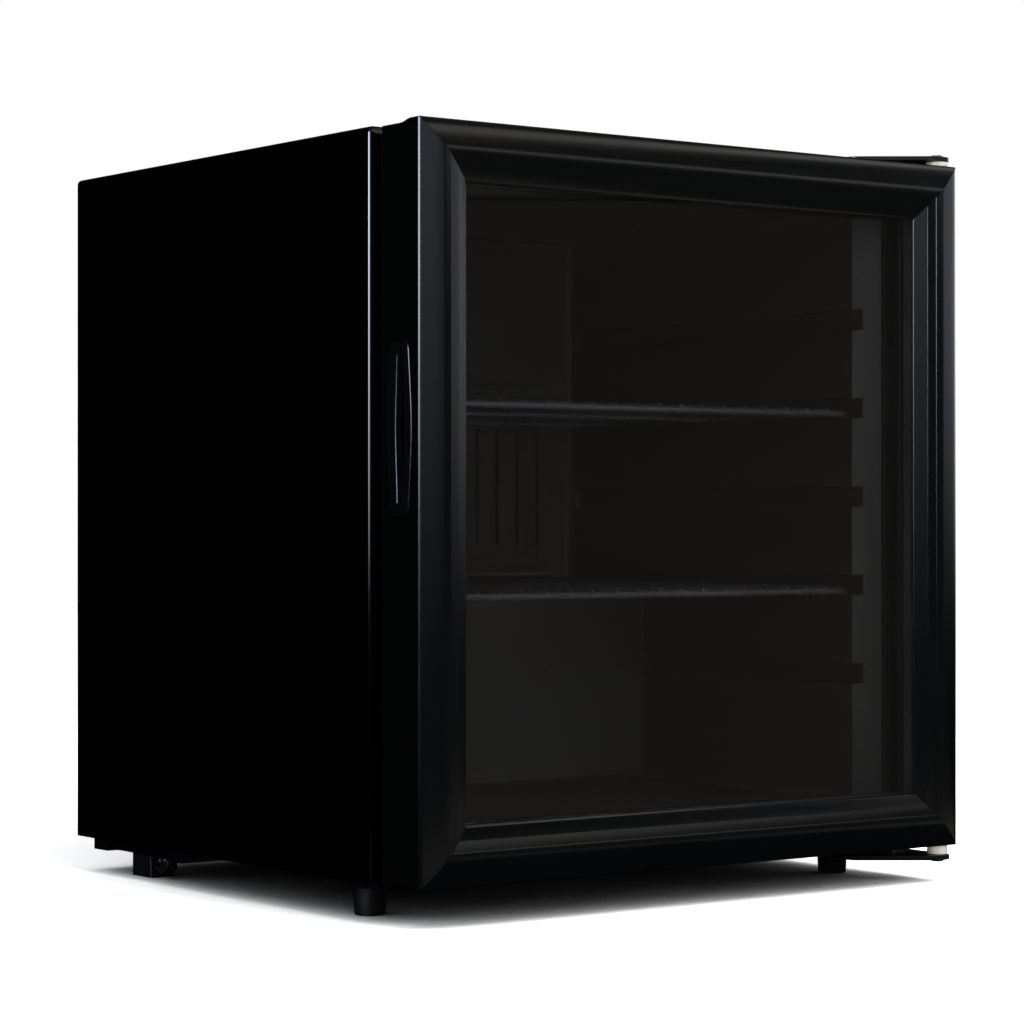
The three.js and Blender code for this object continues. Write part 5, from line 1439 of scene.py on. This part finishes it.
@dataclass
class RearGear:
    """The compressor, its cover, tray and tubes, and the wire condenser on the back.

    Shares are of the shell's height, or of its half length across. The points of the seam's lower edge are
    (radius, height over the seam's foot) in shares, and the tray's are (inset, height over its foot) and
    (inset, depth under its rim).
    """

    centre_x: float = 10.0
    shell_length: float = 132.0
    shell_depth: float = 92.0
    shell_top: float = 164.0
    shell_edge: float = 0.3
    shell_steps: int = 12
    least_reach: float = 0.05
    belly_share: float = 0.3
    belly_power: float = 3.2
    seam_share: float = 0.455
    seam_height: float = 0.03
    seam_edge: tuple[Flat, ...] = ((1.0, -0.01), (1.045, -0.003), (1.05, 0.005))
    dome_start: float = 0.67
    dome_power: float = 2.8
    plate_length: float = 190.0
    plate_width: float = 70.0
    plate_low: float = 36.0
    plate_sheet: float = 2.5
    plate_radius: float = 8.0
    tray_wall: float = 1.5
    tray_radius: float = 8.0
    tray_least_radius: float = 1.0
    tray_foot: tuple[Flat, ...] = ((4.0, 0.0), (3.0, 0.6))
    tray_rim: tuple[Flat, ...] = ((1.6, 2.4), (0.0, 2.2), (0.0, 0.0))
    tray_floor_inset: float = 5.0
    tray_edge: float = 0.3
    run_count: int = 8
    run_pitch: float = 38.0
    left_turn: float = -180.0
    inlet_x: float = -117.0
    inlet_rise: float = 10.0
    outlet_level: float = 164.5
    outlet_drop: float = 10.0
    coil_inset: float = 3.8
    coil_headroom: float = 12.0
    tube_radius: float = 2.5
    tube_sides: int = 12
    tube_bend: float = 4.5
    wire_radius: float = 0.75
    wire_sides: int = 6
    wire_pitch: float = 7.0
    wire_overhang: float = 9.0
    weld_sink: float = 0.3
    strap_place: float = 150.0
    strap_width: float = 10.0
    strap_sheet: float = 1.2
    strap_gap: float = 1.4
    strap_overhang: float = 3.0
    strap_radius: float = 2.0
    tab_height: float = 10.0
    tab_gap: float = 0.4
    tab_radius: float = 1.0

    def build(self) -> None:
        """Builds the pieces behind and under the step."""
        self._compressor()
        soften("starter_cover", BLACK_POLYPROPYLENE)
        self._tray()
        self._condenser()
        for node in ("suction_tube", "discharge_tube", "capillary_tube", "filter_drier"):
            soften(node, COPPER_TUBE)
        soften("cord_gland", SOFT_RUBBER)

    def _shell_profile(self) -> list[Flat]:
        """The shell's profile: a belly, the welded seam and a dome.

        Returns:
            Points as (radius, height) in shares.
        """
        power, dome = self.belly_power, self.dome_power
        turns = [math.pi / 2 * step / self.shell_steps for step in range(self.shell_steps + 1)]
        profile = []
        for turn in turns:
            share = self.belly_share * (1 - math.cos(turn))
            profile.append(((1 - (1 - share / self.belly_share) ** power) ** (1 / power), share))
        seam_top = self.seam_share + self.seam_height
        profile += [(radius, self.seam_share + rise) for radius, rise in self.seam_edge]
        profile += [(radius, seam_top - rise) for radius, rise in reversed(self.seam_edge)]
        for turn in turns:
            share = math.sin(turn)
            height = self.dome_start + (1 - self.dome_start) * share
            profile.append((max(1 - share ** dome, 0.0) ** (1 / dome), height))
        return profile

    def _compressor(self) -> None:
        """Builds the two-part oval shell with its welded seam, on its mounting plate."""
        span = Span.of("compressor")
        narrow = self.shell_depth / self.shell_length
        low, height = span.low.z, self.shell_top - span.low.z
        rings = []
        for radius, share in self._shell_profile():
            reach = max(self.shell_length / 2 * radius, self.least_reach)
            rings.append([
                Vector((
                    self.centre_x + reach * math.cos(angle),
                    span.centre.y + reach * narrow * math.sin(angle),
                    low + height * share,
                ))
                for angle in circle_turns(ROUND_SIDES)
            ])
        shape = Shape("compressor_shell").loft(rings)
        plate = rounded(rectangle(
            self.centre_x - self.plate_length / 2, self.centre_x + self.plate_length / 2,
            span.centre.y - self.plate_width / 2, span.centre.y + self.plate_width / 2, self.plate_radius,
        ))
        shape.prism(Axis.Z, plate, self.plate_low, self.plate_low + self.plate_sheet)
        shape.dress(COATED_PRESSING, "cabinet", ("compressor",), self.shell_edge)

    def _tray(self) -> None:
        """Builds the thin drip tray with a rolled rim."""
        span = Span.of("drip_tray")
        low, high, wall = span.low.z, span.high.z, self.tray_wall
        draft, rise = self.tray_foot[1]

        def outline(inset: float, z: float) -> list[Vector]:
            """A level line round the tray."""
            corners = rectangle(
                span.low.x + inset, span.high.x - inset, span.low.y + inset, span.high.y - inset,
                max(self.tray_radius - inset, self.tray_least_radius),
            )
            return [Vector((a, b, z)) for a, b in rounded(corners)]

        levels = [
            *((inset, low + height) for inset, height in self.tray_foot),
            *((inset, high - depth) for inset, depth in self.tray_rim),
            (self.tray_rim[0][0] + wall, high), (draft + wall, low + wall + rise),
            (self.tray_floor_inset + wall, low + wall),
        ]
        shape = Shape("drip_tray_moulding").loft([outline(inset, z) for inset, z in levels])
        shape.dress(BLACK_POLYPROPYLENE, "cabinet", ("drip_tray",), self.tray_edge)

    def _condenser(self) -> None:
        """Builds the bent tube with a close row of wires on both of its faces, on two straps."""
        span = Span.of("condenser")
        y = span.high.y - self.coil_inset
        top = span.high.z - self.coil_headroom
        first = top - (self.run_count - 1) * self.run_pitch
        left, right = self.left_turn, span.high.x - self.tube_radius
        down_x, inner_y = span.low.x + self.tube_radius, span.low.y + self.tube_radius
        inlet, bend_z = self.inlet_x, span.low.z + self.inlet_rise
        corners = vectors(
            (inlet, inner_y, span.low.z), (inlet, inner_y, bend_z), (inlet, y, bend_z), (inlet, y, first),
        )
        for run in range(self.run_count):
            z = first + run * self.run_pitch
            turn = right if run % 2 == 0 else left
            corners += vectors((turn, y, z), (turn, y, z + self.run_pitch))
        corners = corners[:-2] + vectors(
            (down_x, y, top), (down_x, y, self.outlet_level), (down_x, inner_y, self.outlet_level),
            (down_x, inner_y, self.outlet_level - self.outlet_drop),
        )
        shape = Shape("condenser_coil").tube(bent(corners, self.tube_bend), self.tube_radius, self.tube_sides)
        wire_low, wire_high = first - self.wire_overhang, top + self.wire_overhang
        count = int((right - left) / self.wire_pitch)
        for face in (-1, 1):
            wire_y = y + face * (self.tube_radius + self.wire_radius - self.weld_sink)
            for index in range(1, count):
                x = left + index * (right - left) / count
                wire = vectors((x, wire_y, wire_low), (x, wire_y, wire_high))
                shape.tube(wire, self.wire_radius, self.wire_sides)
        self._straps(shape, y - self.tube_radius - self.strap_gap, wire_low, wire_high)
        shape.dress(COATED_PRESSING, "cabinet", ("condenser",))

    def _straps(self, shape: Shape, back: float, wire_low: float, wire_high: float) -> None:
        """Adds the two straps that carry the coil, each on a tab at its foot and one at its head.

        Args:
            shape: the condenser.
            back: the straps' rear face.
            wire_low: where the wires end below.
            wire_high: where they end above.
        """
        rear = Span.of("rear_panel").high.y + self.tab_gap
        low, high = wire_low - self.strap_overhang, wire_high + self.strap_overhang
        for side in (-1, 1):
            start = side * self.strap_place - self.strap_width / 2
            end = start + self.strap_width
            strap = rounded(rectangle(start, end, low, high, self.strap_radius))
            shape.prism(Axis.Y, strap, back - self.strap_sheet, back)
            for z in (low, high - self.tab_height):
                tab = rounded(rectangle(start, end, rear, back, self.tab_radius), SMALL_ARC_STEPS)
                shape.prism(Axis.Z, tab, z, z + self.tab_height)


@dataclass(frozen=True)
class Lamp:
    """A softbox that lights but leaves gloss to the reflectors: its place, aim, size, power and colour."""

    name: str
    place: tuple[float, float, float]
    target: tuple[float, float, float]
    size: Flat
    watts: float
    colour: str = "#ffffff"

    def hang(self) -> None:
        """Hangs the lamp."""
        data = bpy.data.lights.new(self.name, "AREA")
        data.shape, data.energy = "RECTANGLE", self.watts
        data.size, data.size_y = self.size[0] * MM, self.size[1] * MM
        data.color = linear(self.colour)[:3]
        lamp = bpy.data.objects.new(self.name, data)
        bpy.context.collection.objects.link(lamp)
        place, target = Vector(self.place), Vector(self.target)
        lamp.location = place * MM
        lamp.visible_glossy = False
        lamp.rotation_euler = (target - place).to_track_quat("-Z", "Y").to_euler()


@dataclass(frozen=True)
class Sheet:
    """A cloth or reflector round the object, seen by reflections alone.

    Headings are degrees clockwise from the back. The profile is (reach, height) from the first edge to the
    last. The first edge is dark, and the light reaches its full strength a fade higher.
    """

    name: str
    headings: Flat
    profile: tuple[Flat, ...]
    colour: str = "#ffffff"
    strength: float = 0.0
    fade: float = 1.0
    in_glass: bool = False


@dataclass
class Studio:
    """The floor, the lamps, the cloths and reflectors that only reflections see, and the camera."""

    camera_place: tuple[float, float, float] = (-1353.2, -1834.6, 262.9)
    camera_yaw: float = 36.54
    camera_pitch: float = 0.21
    camera_roll: float = -0.02
    lens: float = 107.2
    sensor: float = 36.0
    world_level: float = 0.3
    floor_size: float = 12000.0
    floor_tone: float = 0.75
    floor_gain: float = 3.5
    # Reach, cut-off share and samples of the painted contact shadow on the floor.
    painted_shade_reach: float = 150.0
    painted_shade_share: float = 0.6
    painted_shade_samples: int = 4
    turn_step: float = 5.0
    lamps: tuple[Lamp, ...] = (
        Lamp("overhead softbox", (250, -1100, 2000), (0, 0, 300), (1600, 1600), 20.0),
        Lamp("front softbox", (350, -2400, 1000), (0, 0, 260), (1400, 900), 24.0),
        Lamp("camera side softbox", (-1600, -2300, 360), (0, 0, 260), (1200, 700), 19.0),
        Lamp("left softbox", (-1900, -150, 1100), (-240, -150, 300), (1200, 1500), 3.0, "#e6efff"),
    )
    sheets: tuple[Sheet, ...] = (
        Sheet("black cloth round about", (0, 360), ((1, 0.3), (2600, 0.3), (2600, 2600)), in_glass=True),
        Sheet("pale ceiling", (0, 360), ((2600, 2600), (1, 2600.1)), "#ffffff", 0.12, 0.05),
        Sheet("panel over the front", (110, 190), ((620, 1010), (1000, 1010.1)), "#fffaf4", 1.2, 0.05),
        Sheet(
            "grey paper in front", (118, 166), ((600, 0.5), (601, 0.6), (2520, 0.6), (2520, 1500)),
            "#fff6ec", 0.034, 0.1, True,
        ),
        Sheet(
            "pale paper on the floor", (115, 215), ((480, 0.7), (481, 0.8), (780, 0.8)), "#fff6ec", 0.25, 0.1,
        ),
        Sheet("left reflector", (228, 268), ((1900, 230), (1900, 900)), "#d8e6ff", 30.0, 520),
        Sheet("front reflector", (128, 160), ((2500, 730), (2500, 1100)), "#fffaf4", 1.1, 220, True),
        Sheet("front left reflector", (172, 228), ((2500, 100), (2500, 1900)), "#e6ecff", 0.85, 700, True),
        Sheet("front right reflector", (95, 126), ((2500, 150), (2500, 1900)), "#f2f4ff", 0.75, 400, True),
        Sheet("right reflector", (60, 95), ((2500, 150), (2500, 2000)), "#f2f4ff", 2.6, 400, True),
    )

    def build(self) -> None:
        """Sets up the studio."""
        bpy.context.scene.view_settings.view_transform = "Standard"
        self._camera()
        self._world()
        self._floor()
        for lamp in self.lamps:
            lamp.hang()
        for sheet in self.sheets:
            self._aside(sheet)

    def _camera(self) -> None:
        """Places the camera where the photograph was taken from."""
        data = bpy.data.cameras.new("photograph")
        data.lens, data.sensor_width = self.lens, self.sensor
        camera = bpy.data.objects.new("photograph", data)
        bpy.context.collection.objects.link(camera)
        camera.location = Vector(self.camera_place) * MM
        turn = Matrix.Rotation(math.radians(-self.camera_yaw), 3, "Z")
        tilt = Matrix.Rotation(math.radians(90 + self.camera_pitch), 3, "X")
        roll = Matrix.Rotation(math.radians(self.camera_roll), 3, "Z")
        camera.rotation_euler = (turn @ tilt @ roll).to_euler()
        bpy.context.scene.camera = camera

    def _world(self) -> None:
        """Makes a white surround that lights the object at a plain level."""
        world = bpy.data.worlds.new("white surround")
        bpy.context.scene.world = world
        world.use_nodes = True
        tree = world.node_tree
        background = tree.nodes["Background"]
        background.inputs["Color"].default_value = (1.0, 1.0, 1.0, 1.0)
        level = add_node(tree, "ShaderNodeMapRange", {
            "To Min": self.world_level, "To Max": 1.0,
        }, {"Value": self._seen(tree)})
        tree.links.new(level.outputs["Result"], background.inputs["Strength"])

    def _seen(self, tree: bpy.types.NodeTree) -> bpy.types.NodeSocket:
        """One for what is seen, straight or in gloss or glass, and zero for what only lights.

        Args:
            tree: the tree that takes the nodes.

        Returns:
            The socket with the value.
        """
        rays = add_node(tree, "ShaderNodeLightPath").outputs
        seen = rays["Is Camera Ray"]
        for name in ("Is Glossy Ray", "Is Transmission Ray"):
            larger = add_node(tree, "ShaderNodeMath", {"operation": "MAXIMUM"})
            tree.links.new(seen, larger.inputs[0])
            tree.links.new(rays[name], larger.inputs[1])
            seen = larger.outputs["Value"]
        return seen

    def _floor(self) -> None:
        """Lays the pale floor. It looks white to the camera, and a painted contact shadow taken from ambient
        occlusion darkens it in and close to the object's shadow.
        """
        half = self.floor_size / 2 * MM
        data = bpy.data.meshes.new("studio floor")
        corners = [(x, y, 0.0) for x, y, _ in rectangle(-half, half, -half, half)]
        data.from_pydata(corners, [], [(0, 1, 2, 3)])
        floor = bpy.data.objects.new("studio_floor", data)
        bpy.context.collection.objects.link(floor)
        material = bpy.data.materials.new("Matt white paper")
        material.use_nodes = True
        tree = material.node_tree
        tree.nodes.clear()
        level = add_node(tree, "ShaderNodeMapRange", {
            "To Min": self.floor_tone, "To Max": self.floor_gain,
        }, {"Value": self._seen(tree)})
        # Painted contact shadow: ambient occlusion darkens the floor's colour under and near the object.
        near = add_node(tree, "ShaderNodeAmbientOcclusion", {
            "Distance": self.painted_shade_reach * MM, "samples": self.painted_shade_samples,
        })
        painted_shade_mask = add_node(tree, "ShaderNodeMapRange", {
            "From Max": self.painted_shade_share,
        }, {"Value": near.outputs["AO"]})
        painted_contact_shade = add_node(tree, "ShaderNodeMath", {"operation": "MULTIPLY"})
        tree.links.new(painted_shade_mask.outputs["Result"], painted_contact_shade.inputs[0])
        tree.links.new(level.outputs["Result"], painted_contact_shade.inputs[1])
        tone = add_node(tree, "ShaderNodeCombineColor", {}, {
            name: painted_contact_shade.outputs["Value"] for name in ("Red", "Green", "Blue")
        })
        diffuse = add_node(tree, "ShaderNodeBsdfDiffuse", {}, {"Color": tone.outputs["Color"]})
        add_node(tree, "ShaderNodeOutputMaterial", {}, {"Surface": diffuse.outputs["BSDF"]})
        data.materials.append(material)

    def _surface(self, sheet: Sheet) -> bpy.types.Material:
        """Makes a sheet's surface: there for reflections, and clear to a look straight through the glass.

        Args:
            sheet: the sheet.

        Returns:
            The material.
        """
        material = bpy.data.materials.new(sheet.name)
        material.use_nodes = True
        tree = material.node_tree
        tree.nodes.clear()
        place = add_node(tree, "ShaderNodeTexCoord").outputs["Object"]
        height = add_node(tree, "ShaderNodeSeparateXYZ", {}, {"Vector": place}).outputs["Z"]
        low = sheet.profile[0][1]
        level = add_node(tree, "ShaderNodeMapRange", {
            "From Min": low * MM, "From Max": (low + sheet.fade) * MM, "To Max": sheet.strength,
        }, {"Value": height})
        glow = add_node(tree, "ShaderNodeEmission", {
            "Color": linear(sheet.colour),
        }, {"Strength": level.outputs["Result"]})
        clear = add_node(tree, "ShaderNodeBsdfTransparent")
        mirrored = add_node(tree, "ShaderNodeLightPath").outputs["Glossy Depth"]
        choice = add_node(tree, "ShaderNodeMixShader", {}, {"Fac": mirrored})
        tree.links.new(clear.outputs["BSDF"], choice.inputs[1])
        tree.links.new(glow.outputs["Emission"], choice.inputs[2])
        add_node(tree, "ShaderNodeOutputMaterial", {}, {"Surface": choice.outputs["Shader"]})
        return material

    def _aside(self, sheet: Sheet) -> None:
        """Stands a sheet round the object, as is done for any glossy black thing in a studio.

        Args:
            sheet: the sheet.
        """
        start, end = sheet.headings
        count = max(1, round((end - start) / self.turn_step))
        turns = [math.radians(start + (end - start) * index / count) for index in range(count + 1)]
        spots = [
            Vector((reach * math.sin(turn), reach * math.cos(turn), z)) * MM
            for reach, z in sheet.profile for turn in turns
        ]
        width = len(turns)
        faces = [
            (at, at + 1, at + width + 1, at + width)
            for row in range(len(sheet.profile) - 1) for at in range(row * width, row * width + count)
        ]
        data = bpy.data.meshes.new(sheet.name)
        data.from_pydata(spots, [], faces)
        data.materials.append(self._surface(sheet))
        made = bpy.data.objects.new(sheet.name.replace(" ", "_"), data)
        bpy.context.collection.objects.link(made)
        made.visible_camera = made.visible_diffuse = made.visible_shadow = False
        made.visible_transmission = sheet.in_glass


def main() -> None:
    """Builds the fridge's sub-assemblies in order."""
    logging.basicConfig(level=logging.INFO, format="%(message)s")
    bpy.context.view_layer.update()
    Studio().build()
    Cabinet().build()
    ColdGear().build()
    WireShelf("shelf_lower", "lower_shelf").build()
    WireShelf("shelf_upper", "upper_shelf").build()
    members = DoorFrame()
    members.build()
    Handle(members).build()
    Glazing(members).build()
    Hinges().build()
    Undercarriage().build()
    RearGear().build()


if __name__ == "__main__":
    main()
